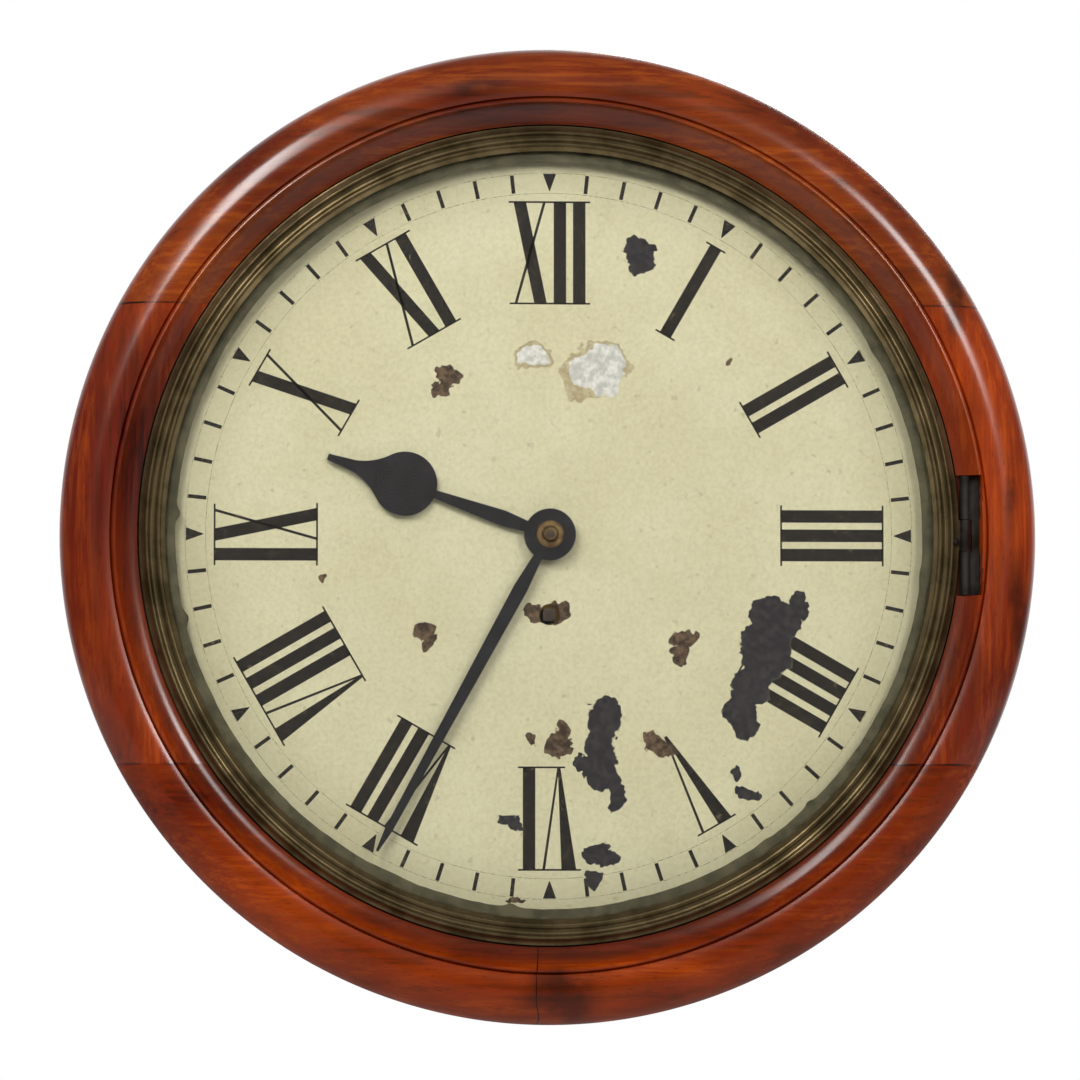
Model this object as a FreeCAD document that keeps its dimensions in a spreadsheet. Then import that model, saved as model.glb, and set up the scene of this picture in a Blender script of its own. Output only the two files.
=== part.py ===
import FreeCAD, Part
import math
import os
import re

import Sketcher
from FreeCAD import Placement, Rotation, Vector

# English dial clock on a wall: a round wooden surround on a box, a painted dial under a hinged
# brass bezel, and a fusee timepiece with a pendulum inside.
# Millimetres. The origin is on the dial's axis at the wall, +X is to the right of someone who
# looks at the dial, +Z is up, and depth grows from the wall towards the viewer, along -Y.

SIZES = {
    # Box behind the dial
    "board_thick": 10,
    "box_half_width": 112,
    "box_rise": 140,
    "floor_gap": 4,
    "glue_gap": 0.02,
    # Wooden surround, from the bore outwards
    "bore_radius": 104,
    "flange_thick": 12,
    "slope_width": 8.4,
    "slope_rise": 5,
    "recess_tall": 6,
    "bead_width": 1.4,
    "groove_width": 1,
    "groove_deep": 2.5,
    "torus_width": 19.5,
    "torus_base": 12,
    "edge_slope": 8,
    "segment_height": 90,
    # Dial
    "dial_margin": 6.2,
    "dial_thick": 1.2,
    "dial_hole_radius": 6.5,
    "winding_hole_radius": 4.2,
    "winding_drop": 31.2,
    # Bezel, glass and putty
    "sight_radius": 150.3,
    "lip_width": 2,
    "bezel_width": 10.2,
    "bezel_gap": 0.7,
    "bezel_lift": 0.8,
    "rim_tall": 5,
    "ridge_tall": 2.8,
    "lip_lift": 1.5,
    "bead_tall": 3,
    "lip_thick": 1,
    "glass_thick": 2,
    "glass_rise": 9,
    "seat_gap": 0.3,
    "putty_width": 7,
    "putty_deep": 2.8,
    # Bezel hinge and catch
    "hinge_tall": 46.6,
    "hinge_wide": 7.5,
    "hinge_leaf_thick": 1.8,
    "knuckle_radius": 1.8,
    "pin_radius": 0.8,
    "hinge_tongue_tall": 12,
    "catch_wide": 8,
    "catch_thick": 0.8,
    "catch_long": 8,
    # Hands
    "hand_thick": 1,
    "hand_lift": 2.2,
    "hand_step": 1,
    "boss_radius": 10.1,
    "collet_radius": 5.4,
    "collet_tall": 2.6,
    "hour_length": 92,
    "spade_reach": 60,
    "spade_radius": 12.6,
    "minute_tip_gap": 9.3,
    "minute_width": 5.6,
    # Plates and their pillars
    "plate_thick": 2.5,
    "plate_gap": 42,
    "plate_clear": 5,
    "plate_reach": 37,
    "pillar_radius": 4,
    "pillar_gap": 4.5,
    "pillar_inset": 7,
    "tenon_radius": 2.2,
    "taper_pin_radius": 0.7,
    "foot_radius": 3.5,
    "run_gap": 0.05,
    "fit_gap": 0.02,
    # Going train
    "centre_module": 0.6,
    "third_module": 0.55,
    "third_lean": 23.5,
    "arbor_radius": 1.6,
    "staff_radius": 1.1,
    "pivot_radius": 0.8,
    "wheel_thick": 1.5,
    "escape_radius": 16,
    "pallet_bite": 0.15,
    # Fusee and barrel
    "fusee_wide": 21,
    "fusee_narrow": 9,
    "fusee_long": 28,
    "fusee_arbor_radius": 3.5,
    "winding_square": 4.8,
    "barrel_radius": 25,
    "barrel_wall": 1.5,
    "barrel_lean": 42,
    "barrel_arbor_radius": 4,
    "spring_thick": 0.8,
    "line_radius": 0.6,
    # Motion work
    "motion_module": 0.65,
    "cannon_pipe_radius": 3,
    "pipe_wall": 1.1,
    # Pendulum
    "pendulum_length": 172.5,
    "rod_radius": 1.5,
    "bob_radius": 25,
    "bob_thick": 16,
    "bob_clear": 10,
    "pendulum_space": 18,
    "nut_radius": 7,
    "nut_tall": 4,
    "thread_reach": 9,
    "spring_strip": 0.2,
    # Doors in the box
    "door_gap": 0.6,
    "door_margin": 16,
    "side_door_tall": 120,
    "bottom_door_wide": 90,
    "butt_long": 20,
    "butt_wide": 9,
    "butt_thick": 1.2,
    "butt_radius": 2,
    "knob_radius": 6,
    # Fixings
    "hook_radius": 5,
    "hook_rise": 8,
    "hanger_thick": 3,
    "hanger_half_width": 18,
    "hanger_long": 68,
    "screw_radius": 1.5,
    "screw_head_radius": 2.2,
    "screw_long": 9,
    "steady_radius": 2.5,
    "peg_radius": 4,
    "block_thick": 14,
    "block_tall": 22,
}

# Tooth counts of the train: 8640 beats an hour, which the pendulum's length answers to
GREAT_TEETH, CENTRE_LEAVES = 96, 8
CENTRE_TEETH, THIRD_LEAVES = 84, 7
THIRD_TEETH, ESCAPE_LEAVES = 84, 7
ESCAPE_TEETH = 30
CANNON_TEETH = 40
MINUTE_LEAVES, HOUR_TEETH = 8, 96
FUSEE_GROOVES = 12
SPRING_HALF_TURNS = 16

# Where the hands stand, in degrees clockwise from the twelve
MINUTE_ANGLE = 208.6
HOUR_ANGLE = 289.2

doc = FreeCAD.newDocument("dial_clock")
sheet = doc.addObject("Spreadsheet::Sheet", "Sizes")
for row, (alias, number) in enumerate(SIZES.items(), start=1):
    sheet.set(f"A{row}", alias)
    sheet.set(f"B{row}", str(number))
    sheet.setAlias(f"B{row}", alias)
doc.recompute()

WORD = re.compile(r"[a-z][a-z0-9_]*")
NODES = []


def bound(formula):
    """The formula with each size's name pointing at its cell."""
    return WORD.sub(lambda word: f"Sizes.{word[0]}" if word[0] in SIZES else word[0], str(formula))


def value(formula):
    """The number that a formula of sizes comes to."""
    return float(sheet.evalExpression(bound(formula)))


# Helpers: primitives at (x, depth, z), booleans and turned or flat bodies

FORWARD = Rotation(Vector(1, 0, 0), 90)
SIDEWAYS = Rotation(Vector(0, 1, 0), 90)
UPRIGHT = Rotation()
FACING = Rotation(Vector(1, 0, 0), 180)


def place(thing, x, depth, z, turn=UPRIGHT):
    """Puts a thing at x, depth in front of the wall and height z, turned first."""
    thing.Placement = Placement(Vector(), turn)
    for axis, formula in (("x", x), ("y", f"-({depth})"), ("z", z)):
        thing.setExpression(f"Placement.Base.{axis}", bound(formula))
    return thing


def slab(x, depth, z, wide, deep, tall):
    """A box from its left, rear, lower corner."""
    box = doc.addObject("Part::Box", "slab")
    box.setExpression("Length", bound(wide))
    box.setExpression("Width", bound(deep))
    box.setExpression("Height", bound(tall))
    return place(box, x, f"({depth}) + ({deep})", z)


def rod(x, depth, z, radius, length, turn=FORWARD):
    """A cylinder that starts at its rear, left or lower end."""
    cylinder = doc.addObject("Part::Cylinder", "rod")
    cylinder.setExpression("Radius", bound(radius))
    cylinder.setExpression("Height", bound(length))
    return place(cylinder, x, depth, z, turn)


def fuse(*pieces):
    joined = doc.addObject("Part::MultiFuse", "joined")
    joined.Shapes = pieces
    return joined


def common(*pieces):
    shared = doc.addObject("Part::MultiCommon", "shared")
    shared.Shapes = pieces
    return shared


def cut(base, *tools):
    """The base without the tools."""
    result = doc.addObject("Part::Cut", "cut")
    result.Base = base
    result.Tool = tools[0] if len(tools) == 1 else fuse(*tools)
    return result


def group(*pieces):
    """Separate solids that share a node."""
    together = doc.addObject("Part::Compound", "together")
    together.Links = pieces
    return together


def node(label, thing):
    thing.Label = label
    NODES.append(thing)
    return thing


def outline(body, plane, corners):
    """A closed sketch through the corners, each (across, up) or (across, up, swell).

    A corner with a swell starts an arc instead of a line. The arc's radius is the swell times
    half its chord, and it bulges to the left of the way round, or to the right if negative."""
    sketch = body.newObject("Sketcher::SketchObject", "outline")
    origin_plane = next(part for part in body.Origin.OriginFeatures if part.Role == plane)
    sketch.AttachmentSupport = (origin_plane, [""])
    sketch.MapMode = "FlatFace"
    points = [Vector(value(corner[0]), value(corner[1]), 0) for corner in corners]
    starts = []
    for index, corner in enumerate(corners):
        here, there = points[index], points[(index + 1) % len(points)]
        if len(corner) == 2:
            sketch.addGeometry(Part.LineSegment(here, there))
        else:
            chord = there - here
            radius = abs(corner[2]) * chord.Length / 2
            bulge = radius - math.sqrt(radius ** 2 - chord.Length ** 2 / 4)
            across = Vector(-chord.y, chord.x, 0).normalize() * math.copysign(bulge, corner[2])
            sketch.addGeometry(Part.Arc(here, (here + there) / 2 + across, there))
        starts.append(1 if sketch.getPoint(index, 1).distanceToPoint(here) < 1e-6 else 2)
    rules = []
    formulas = []

    def rule(formula, *details):
        rules.append(Sketcher.Constraint(*details))
        formulas.append(formula)

    for index, corner in enumerate(corners):
        following = (index + 1) % len(corners)
        rule(None, "Coincident", index, 3 - starts[index], following, starts[following])
        for kind, axis, formula, number in (("DistanceX", -2, corner[0], points[index].x),
                                            ("DistanceY", -1, corner[1], points[index].y)):
            if str(formula) == "0":
                rule(None, "PointOnObject", index, starts[index], axis)
            elif number > 0:
                rule(formula, kind, -1, 1, index, starts[index], number)
            else:
                rule(f"-({formula})", kind, index, starts[index], -1, 1, -number)
        if len(corner) == 3:
            x_step = f"(({corners[following][0]}) - ({corner[0]}))"
            y_step = f"(({corners[following][1]}) - ({corner[1]}))"
            half_chord = f"sqrt({x_step} ^ 2 + {y_step} ^ 2) / 2"
            rule(f"{abs(corner[2])} * {half_chord}", "Radius", index,
                 value(f"{abs(corner[2])} * {half_chord}"))
    sketch.addConstraint(rules)
    for index, formula in enumerate(formulas):
        if formula is not None:
            sketch.setExpression(f"Constraints[{index}]", bound(formula))
    return sketch


def turned(x, z, corners, depth="0", turn=FACING):
    """A piece turned about a line that points at the viewer, or as turn says.

    The corners are (radius, distance along the line)."""
    body = doc.addObject("PartDesign::Body", "turned")
    sketch = outline(body, "XY_Plane", corners)
    spin = body.newObject("PartDesign::Revolution", "spin")
    spin.Profile = (sketch, [""])
    spin.ReferenceAxis = (sketch, ["V_Axis"])
    spin.Angle = 360
    body.Tip = spin
    return place(body, x, depth, z, turn)


def dome_swell(radius, rise):
    """Swell of an arc from the axis to a radius that is level where it leaves the axis."""
    return value(f"sqrt(({radius}) ^ 2 + ({rise}) ^ 2) / ({rise})")


def flat(x, depth, z, corners, thick, angle=0):
    """A sheet piece cut to an outline of (x, z) corners, its rear face at the depth."""
    body = doc.addObject("PartDesign::Body", "flat")
    sketch = outline(body, "XZ_Plane", corners)
    pad = body.newObject("PartDesign::Pad", "pad")
    pad.Profile = (sketch, [""])
    pad.setExpression("Length", bound(thick))
    body.Tip = pad
    return place(body, x, depth, z, Rotation(Vector(0, 1, 0), angle))


def polar(radius, degrees):
    """A point at an angle clockwise from twelve, as seen from the front."""
    angle = math.radians(degrees)
    return Vector(radius * math.sin(angle), 0, radius * math.cos(angle))


def shaped(shape, x, depth, z):
    """A piece whose shape is worked out by formula, put in its place."""
    piece = doc.addObject("Part::Feature", "shaped")
    piece.Shape = shape
    piece.Placement = Placement(Vector(value(x), -value(depth), value(z)), Rotation())
    return piece


def plate_from(wires, thick):
    """A solid from a flat outline and the openings in it, grown towards the front."""
    face = Part.makeFace(wires, "Part::FaceMakerBullseye")
    return face.extrude(Vector(0, -value(thick), 0))


def round_wire(radius):
    return Part.Wire(Part.makeCircle(value(radius), Vector(), Vector(0, 1, 0)))


def tooth_wire(teeth, module, tooth_at, addendum=1.0, dedendum=1.3, slack=0.2):
    """Outline of a wheel: straight flanks, with a tooth in the direction tooth_at."""
    pitch_radius = teeth * module / 2
    half = 90 / teeth * (1 - slack)
    inner, outer = pitch_radius - dedendum * module, pitch_radius + addendum * module
    points = []
    for tooth in range(teeth):
        middle = tooth_at + 360 / teeth * tooth
        points += [polar(inner, middle - 1.5 * half), polar(outer, middle - 0.5 * half)]
        points += [polar(outer, middle + 0.5 * half), polar(inner, middle + 1.5 * half)]
    return Part.makePolygon(points + points[:1])


def leaf_wire(leaves, module, leaf_at, addendum=0.7, dedendum=1.5, slack=0.24):
    """Outline of a pinion: radial flanks below the pitch circle and a blunt point above it."""
    pitch_radius = leaves * module / 2
    half = 90 / leaves * (1 - slack)
    inner, outer = pitch_radius - dedendum * module, pitch_radius + addendum * module
    points = []
    for leaf in range(leaves):
        middle = leaf_at + 360 / leaves * leaf
        for radius, share in ((inner, -1), (pitch_radius, -1), (outer, -0.35),
                              (outer, 0.35), (pitch_radius, 1), (inner, 1)):
            points.append(polar(radius, middle + share * half))
    return Part.makePolygon(points + points[:1])


def windows(inner, outer, arms, arm_wide):
    """The openings between a wheel's arms."""
    wires = []
    for arm in range(arms):
        middle = 360 / arms * (arm + 0.5)
        near = 180 / arms - math.degrees(arm_wide / 2 / inner)
        far = 180 / arms - math.degrees(arm_wide / 2 / outer)
        corners = [polar(inner, middle - near), polar(outer, middle - far)]
        corners += [polar(outer, middle + far), polar(inner, middle + near)]
        wires.append(Part.Wire([
            Part.makeLine(corners[0], corners[1]),
            Part.Arc(corners[1], polar(outer, middle), corners[2]).toShape(),
            Part.makeLine(corners[2], corners[3]),
            Part.Arc(corners[3], polar(inner, middle), corners[0]).toShape(),
        ]))
    return wires


# Radii from the sight line outwards, and depths from the wall forwards

REBATE_R = "(sight_radius + lip_width)"
BEZEL_R = "(sight_radius + bezel_width)"
RECESS_R = f"({BEZEL_R} + bezel_gap)"
SLOPE_R = f"({RECESS_R} + slope_width)"
BEAD_R = f"({SLOPE_R} + bead_width)"
GROOVE_R = f"({BEAD_R} + groove_width)"
SURROUND_R = f"({GROOVE_R} + torus_width)"
DIAL_R = "(sight_radius + dial_margin)"

PENDULUM_D = "(board_thick + bob_clear + bob_thick / 2)"
BACK_PLATE_D = f"({PENDULUM_D} + pendulum_space)"
TRAIN_D = f"({BACK_PLATE_D} + plate_thick)"
FRONT_PLATE_D = f"({TRAIN_D} + plate_gap)"
MOTION_D = f"({FRONT_PLATE_D} + plate_thick)"
BOX_D = f"({MOTION_D} + plate_clear)"
DIAL_D = f"({BOX_D} + flange_thick)"
DIAL_FRONT = f"({DIAL_D} + dial_thick)"
BEZEL_D = f"({DIAL_FRONT} + bezel_lift)"
RIM_D = f"({BEZEL_D} + rim_tall)"
LIP_D = f"({RIM_D} + lip_lift)"
HOUR_HAND_D = f"({DIAL_FRONT} + hand_lift)"
MINUTE_HAND_D = f"({HOUR_HAND_D} + hand_thick + hand_step)"

# Places of the arbors

CENTRE_C = f"(centre_module * {CENTRE_TEETH + THIRD_LEAVES} / 2)"
THIRD_C = f"(third_module * {THIRD_TEETH + ESCAPE_LEAVES} / 2)"
THIRD_X = f"({CENTRE_C} * sin(third_lean))"
THIRD_Z = f"({CENTRE_C} * cos(third_lean))"
ESCAPE_Z = f"({THIRD_Z} + sqrt({THIRD_C} ^ 2 - {THIRD_X} ^ 2))"
PALLET_ANGLE = 3.75 * 360 / ESCAPE_TEETH
ANCHOR_Z = f"({ESCAPE_Z} + escape_radius / cos({PALLET_ANGLE}))"
GREAT_MODULE = f"(winding_drop * 2 / {GREAT_TEETH + CENTRE_LEAVES})"
GREAT_R = f"({GREAT_MODULE} * {GREAT_TEETH} / 2)"
BARREL_REACH = f"({GREAT_R} + {GREAT_MODULE} + barrel_radius + 2)"
BARREL_X = f"(-{BARREL_REACH} * sin(barrel_lean))"
BARREL_Z = f"(-winding_drop - {BARREL_REACH} * cos(barrel_lean))"
MINUTE_C = f"(motion_module * {CANNON_TEETH})"

# The box's inside, which the pendulum and the plates need

INNER_X = "(box_half_width - board_thick)"
BOB_Z = f"({ANCHOR_Z} - pendulum_length)"
FLOOR_Z = f"({BOB_Z} - bob_radius - thread_reach - floor_gap)"
BOX_LOW = f"({FLOOR_Z} - board_thick)"
CEILING_Z = "(box_rise - board_thick)"
HOOK_Z = "(box_rise + hook_rise)"


def corners_of(right, left, high, low):
    return [(right, high), (left, high), (right, low), (left, low)]


# Fixings are made first, because the pieces that they pass through are drilled to suit

DIAL_SCREW_R = f"({DIAL_R} - screw_head_radius - 0.6)"
DIAL_SCREWS = [(f"{DIAL_SCREW_R} * sin({angle})", f"{DIAL_SCREW_R} * cos({angle})")
               for angle in (45, 135, 225, 315)]
HANGER_LOW = f"({HOOK_Z} - hanger_long)"
HANGER_SCREWS = [("0", f"{HANGER_LOW} + 10"), ("-9", f"{HANGER_LOW} + 32"), ("9", f"{HANGER_LOW} + 32")]
HINGE_X = f"({RECESS_R} + knuckle_radius)"
HINGE_PLATE_D = f"({BOX_D} + flange_thick + recess_tall / 2)"
HINGE_FRONT = f"({HINGE_PLATE_D} + hinge_leaf_thick)"
HINGE_AXIS_D = f"({HINGE_FRONT} + knuckle_radius - 0.3)"
HINGE_SCREW_X = f"({RECESS_R} + hinge_wide - screw_head_radius - seat_gap)"
HINGE_SCREWS = [(HINGE_SCREW_X, "hinge_tall * 0.3"), (HINGE_SCREW_X, "-hinge_tall * 0.3")]
PEG_D = f"({BOX_D} - block_thick)"
PEG_HIGH = f"({CEILING_Z} - block_tall / 2)"
PEG_LOW = f"({FLOOR_Z} + block_tall / 2 + 4)"


def screw(x, front, z, grow="0", towards=1):
    """A screw whose flush head faces the viewer, or the wall where towards is -1."""
    head_tall = "1"
    if towards > 0:
        head = rod(x, f"{front} - {head_tall} - {grow}", z, f"screw_head_radius + {grow}",
                   f"{head_tall} + 2 * {grow}")
        shank = rod(x, f"{front} - screw_long - {grow}", z, f"screw_radius + {grow}", f"screw_long + {grow}")
    else:
        head = rod(x, f"{front} - {grow}", z, f"screw_head_radius + {grow}", f"{head_tall} + 2 * {grow}")
        shank = rod(x, front, z, f"screw_radius + {grow}", f"screw_long + {grow}")
    return fuse(head, shank)


def every_screw(grow):
    screws = [screw(x, DIAL_FRONT, z, grow) for x, z in DIAL_SCREWS]
    screws += [screw(x, HINGE_FRONT, z, grow) for x, z in HINGE_SCREWS]
    screws += [screw(x, "0", z, grow, -1) for x, z in HANGER_SCREWS]
    return screws


node("wood_screws", group(*every_screw("0")))
SCREW_HOLES = fuse(*every_screw("fit_gap"))


# Wooden surround: one turned ring, morticed for the hinge and catch and sawn into four segments

def surround():
    ring = turned("0", "0", [
        ("bore_radius", BOX_D),
        (f"{SURROUND_R} - edge_slope", BOX_D, -1.6),
        (SURROUND_R, f"{BOX_D} + torus_base", -1.4),
        (GROOVE_R, f"{DIAL_D} + recess_tall + slope_rise - groove_deep / 2"),
        (f"{GROOVE_R} - groove_width / 2", f"{DIAL_D} + recess_tall + slope_rise - groove_deep"),
        (BEAD_R, f"{DIAL_D} + recess_tall + slope_rise - groove_deep / 4"),
        (f"{SLOPE_R} + bead_width * 0.7", f"{DIAL_D} + recess_tall + slope_rise + bead_width * 0.2"),
        (f"{SLOPE_R} + bead_width * 0.3", f"{DIAL_D} + recess_tall + slope_rise + bead_width * 0.2"),
        (SLOPE_R, f"{DIAL_D} + recess_tall + slope_rise", 2.4),
        (RECESS_R, f"{DIAL_D} + recess_tall"),
        (RECESS_R, DIAL_D),
        ("bore_radius", DIAL_D),
    ])
    hinge_mortice = slab(f"{BEZEL_R} - 4", HINGE_PLATE_D, "-hinge_tall / 2 - door_gap / 2",
                         "hinge_wide + bezel_gap + 4 + door_gap / 2", "20", "hinge_tall + door_gap")
    catch_mortice = slab(f"-{BEZEL_R} + 0.7", f"{DIAL_D} - catch_long + bezel_lift",
                         "-catch_wide / 2 - door_gap",
                         "catch_thick + 2 * door_gap", "catch_long + 5", "catch_wide + 2 * door_gap")
    ring = cut(ring, hinge_mortice, catch_mortice, SCREW_HOLES)
    reach = f"({SURROUND_R} + 10)"
    deep = f"({SURROUND_R} / 2)"
    upper = slab(f"-{reach}", BOX_D, "segment_height", f"2 * {reach}", deep, reach)
    lower = slab(f"-{reach}", BOX_D, f"-segment_height - {reach}", f"2 * {reach}", deep, reach)
    left = slab(f"-{reach}", BOX_D, "-segment_height + glue_gap", reach, deep,
                "2 * segment_height - 2 * glue_gap")
    right = slab("0", BOX_D, "-segment_height + glue_gap", reach, deep, "2 * segment_height - 2 * glue_gap")
    for label, half in (("top", upper), ("bottom", lower), ("left", left), ("right", right)):
        node(f"surround_{label}", common(ring, half))


surround()


# Box: boards, door openings, corner blocks and the pegs that hold the surround on

SIDE_DOOR = (INNER_X, "door_margin", "-side_door_tall / 2", "board_thick",
             f"({BOX_D} - 2 * door_margin)", "side_door_tall")
BOTTOM_DOOR = ("-bottom_door_wide / 2", "door_margin", BOX_LOW, "bottom_door_wide",
               f"({BOX_D} - 2 * door_margin)", "board_thick")


def peg_places():
    return [(side, z) for side in (1, -1) for z in (PEG_HIGH, PEG_LOW)]


def pegs(grow):
    """Turned pegs through the sides into the blocks, each with a small head outside."""
    made = []
    for side, z in peg_places():
        shank = f"(board_thick + block_thick * 0.8 + {grow})"
        head_start = "box_half_width" if side > 0 else "-box_half_width - 5"
        shank_start = f"box_half_width - {shank}" if side > 0 else "-box_half_width"
        made.append(fuse(rod(shank_start, PEG_D, z, f"peg_radius + {grow}", shank, SIDEWAYS),
                         rod(head_start, PEG_D, z, "peg_radius + 2", "5", SIDEWAYS)))
    return made


def peg_holes():
    holes = []
    for side, z in peg_places():
        shank = "(board_thick + block_thick * 0.8 + fit_gap)"
        start = f"box_half_width - {shank}" if side > 0 else "-box_half_width"
        holes.append(rod(start, PEG_D, z, "peg_radius + fit_gap", shank, SIDEWAYS))
    return fuse(*holes)


def hanger(grow):
    """Plate at the top of the back, rounded round the hole for the wall hook."""
    half = f"(hanger_half_width + {grow})"
    tail = slab(f"-{half}", "0", f"{HANGER_LOW} - {grow}", f"2 * {half}", f"hanger_thick + {grow}",
                f"hanger_long + {grow}")
    return fuse(tail, rod("0", "0", HOOK_Z, half, f"hanger_thick + {grow}"))


def box():
    holes = peg_holes()
    hanger_seat = hanger("fit_gap")
    tall = f"(box_rise - {BOX_LOW})"
    left = slab("-box_half_width", "0", BOX_LOW, "board_thick", BOX_D, tall)
    node("box_left_side", cut(left, holes))
    right = slab(INNER_X, "0", BOX_LOW, "board_thick", BOX_D, tall)
    node("box_right_side", cut(right, holes, slab(*SIDE_DOOR)))
    top = slab(f"-{INNER_X}", "0", CEILING_Z, f"2 * {INNER_X}", BOX_D, "board_thick")
    node("box_top", cut(top, hanger_seat))
    bottom = slab(f"-{INNER_X}", "0", BOX_LOW, f"2 * {INNER_X}", BOX_D, "board_thick")
    node("box_bottom", cut(bottom, slab(*BOTTOM_DOOR)))
    back = slab(f"-{INNER_X}", "0", FLOOR_Z, f"2 * {INNER_X}", "board_thick", f"{CEILING_Z} - {FLOOR_Z}")
    steady_hole = rod("0", "-1", f"{FLOOR_Z} + 14", "steady_radius", "board_thick + 2")
    node("backboard", cut(back, hanger_seat, SCREW_HOLES, steady_hole))
    hook_hole = rod("0", "-1", HOOK_Z, "hook_radius", "hanger_thick + 2")
    node("hanging_plate", cut(hanger("0"), hook_hole, SCREW_HOLES))
    blocks = []
    for side, z in peg_places():
        x = f"{INNER_X} - block_thick" if side > 0 else f"-{INNER_X}"
        blocks.append(slab(x, f"{BOX_D} - 2 * block_thick", f"{z} - block_tall / 2",
                           "block_thick", "2 * block_thick", "block_tall"))
    node("surround_blocks", cut(group(*blocks), holes))
    node("case_pegs", group(*pegs("0")))


box()


# Doors: butt hinges with a fixed leaf and pin, a moving leaf and a turned knob

def butt(along, axis_a, axis_b, place_piece):
    """Fixed and moving halves of one butt hinge; place_piece maps hinge directions to the box."""
    half = "(butt_long / 2)"
    fixed = fuse(
        place_piece("slab", f"{axis_a} - butt_wide", axis_b, f"{along} - {half}",
                    "butt_wide - butt_radius - 0.4", "butt_thick", "butt_long"),
        place_piece("slab", f"{axis_a} - butt_radius - 0.6", axis_b, f"{along} - {half}",
                    "butt_radius + 0.6", "butt_thick", f"{half} - 0.2"),
        place_piece("rod", axis_a, f"{axis_b} + butt_radius", f"{along} - {half}", "butt_radius",
                    f"{half} - 0.2"),
        place_piece("rod", axis_a, f"{axis_b} + butt_radius", f"{along} - {half}", "butt_radius / 2",
                    "butt_long"),
    )
    moving = cut(
        fuse(
            place_piece("slab", f"{axis_a} + butt_radius + 0.4", axis_b, f"{along} - {half}",
                        "butt_wide - butt_radius", "butt_thick", "butt_long"),
            place_piece("slab", axis_a, axis_b, f"{along} + 0.2",
                        "butt_radius + 0.6", "butt_thick", f"{half} - 0.2"),
            place_piece("rod", axis_a, f"{axis_b} + butt_radius", f"{along} + 0.2", "butt_radius",
                        f"{half} - 0.2"),
        ),
        place_piece("rod", axis_a, f"{axis_b} + butt_radius", f"{along} - {half} - 1",
                    "butt_radius / 2 + run_gap", "butt_long + 2"),
    )
    return fixed, moving


def side_piece(kind, across, out, along, *sizes):
    """Hinge pieces on the right side: across is depth, out is +X, along is up."""
    if kind == "slab":
        wide, thick, tall = sizes
        return slab(f"box_half_width + {out}", across, along, thick, wide, tall)
    radius, length = sizes
    return rod(f"box_half_width + {out}", across, along, radius, length, UPRIGHT)


def bottom_piece(kind, across, out, along, *sizes):
    """Hinge pieces under the bottom: across is +X, out is down, along is depth."""
    if kind == "slab":
        wide, thick, tall = sizes
        return slab(across, along, f"{BOX_LOW} - ({out}) - {thick}", wide, tall, thick)
    radius, length = sizes
    return rod(across, along, f"{BOX_LOW} - ({out})", radius, length)


def knob(turn, x, depth, z):
    """A small turned pull."""
    return turned(x, z, [
        ("0", "0"), ("knob_radius * 0.45", "0"), ("knob_radius * 0.4", "knob_radius * 0.8"),
        ("knob_radius", "knob_radius * 1.3", -dome_swell("knob_radius", "knob_radius * 0.7")),
        ("0", "knob_radius * 2"),
    ], depth, turn)


def doors():
    gap = "door_gap"
    x, depth, z, wide, deep, tall = SIDE_DOOR
    node("side_door", slab(x, f"{depth} + {gap}", f"{z} + {gap}", wide, f"{deep} - 2 * {gap}",
                           f"{tall} - 2 * {gap}"))
    pairs = [butt(f"{share} * side_door_tall", "door_margin", "0", side_piece) for share in (-0.3, 0.3)]
    node("side_door_fixed_leaves", group(*[pair[0] for pair in pairs]))
    node("side_door_moving_leaves", group(*[pair[1] for pair in pairs]))
    node("side_door_knob", knob(Rotation(Vector(0, 0, 1), -90), "box_half_width",
                                f"{BOX_D} - door_margin - 10", "0"))
    x, depth, z, wide, deep, tall = BOTTOM_DOOR
    panel = slab(f"{x} + {gap}", f"{depth} + {gap}", z, f"{wide} - 2 * {gap}", f"{deep} - 2 * {gap}", tall)
    pull = knob(Rotation(Vector(1, 0, 0), -90), "bottom_door_wide / 2 - 12", f"{BOX_D} / 2", BOX_LOW)
    node("bottom_door", fuse(panel, pull))
    pairs = [butt(f"door_margin + {share} * ({BOX_D} - 2 * door_margin)", "-bottom_door_wide / 2", "0",
                  bottom_piece)
             for share in (0.25, 0.75)]
    node("bottom_door_fixed_leaves", group(*[pair[0] for pair in pairs]))
    node("bottom_door_moving_leaves", group(*[pair[1] for pair in pairs]))


doors()


# Dial and the feet that carry the movement

FEET = [("34", "66"), ("-50", "66"), ("34", "-66"), ("-50", "-38")]


def dial():
    plate = turned("0", "0", [("dial_hole_radius", DIAL_D), (DIAL_R, DIAL_D),
                              (DIAL_R, DIAL_FRONT), ("dial_hole_radius", DIAL_FRONT)])
    winding_hole = rod("0", f"{DIAL_D} - 1", "-winding_drop", "winding_hole_radius", "dial_thick + 2")
    node("dial_plate", cut(plate, winding_hole, SCREW_HOLES))
    feet = []
    for x, z in FEET:
        pin_hole = rod(f"{x} - 6", f"{FRONT_PLATE_D} - taper_pin_radius - fit_gap", z,
                       "taper_pin_radius + fit_gap", "12", SIDEWAYS)
        feet.append(cut(fuse(rod(x, MOTION_D, z, "foot_radius", f"{DIAL_D} - {MOTION_D}"),
                             rod(x, f"{FRONT_PLATE_D} - 3", z, "tenon_radius", "plate_thick + 3")), pin_hole))
    node("dial_feet", group(*feet))


dial()


# Bezel with its glass, putty, hinge and catch

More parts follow.
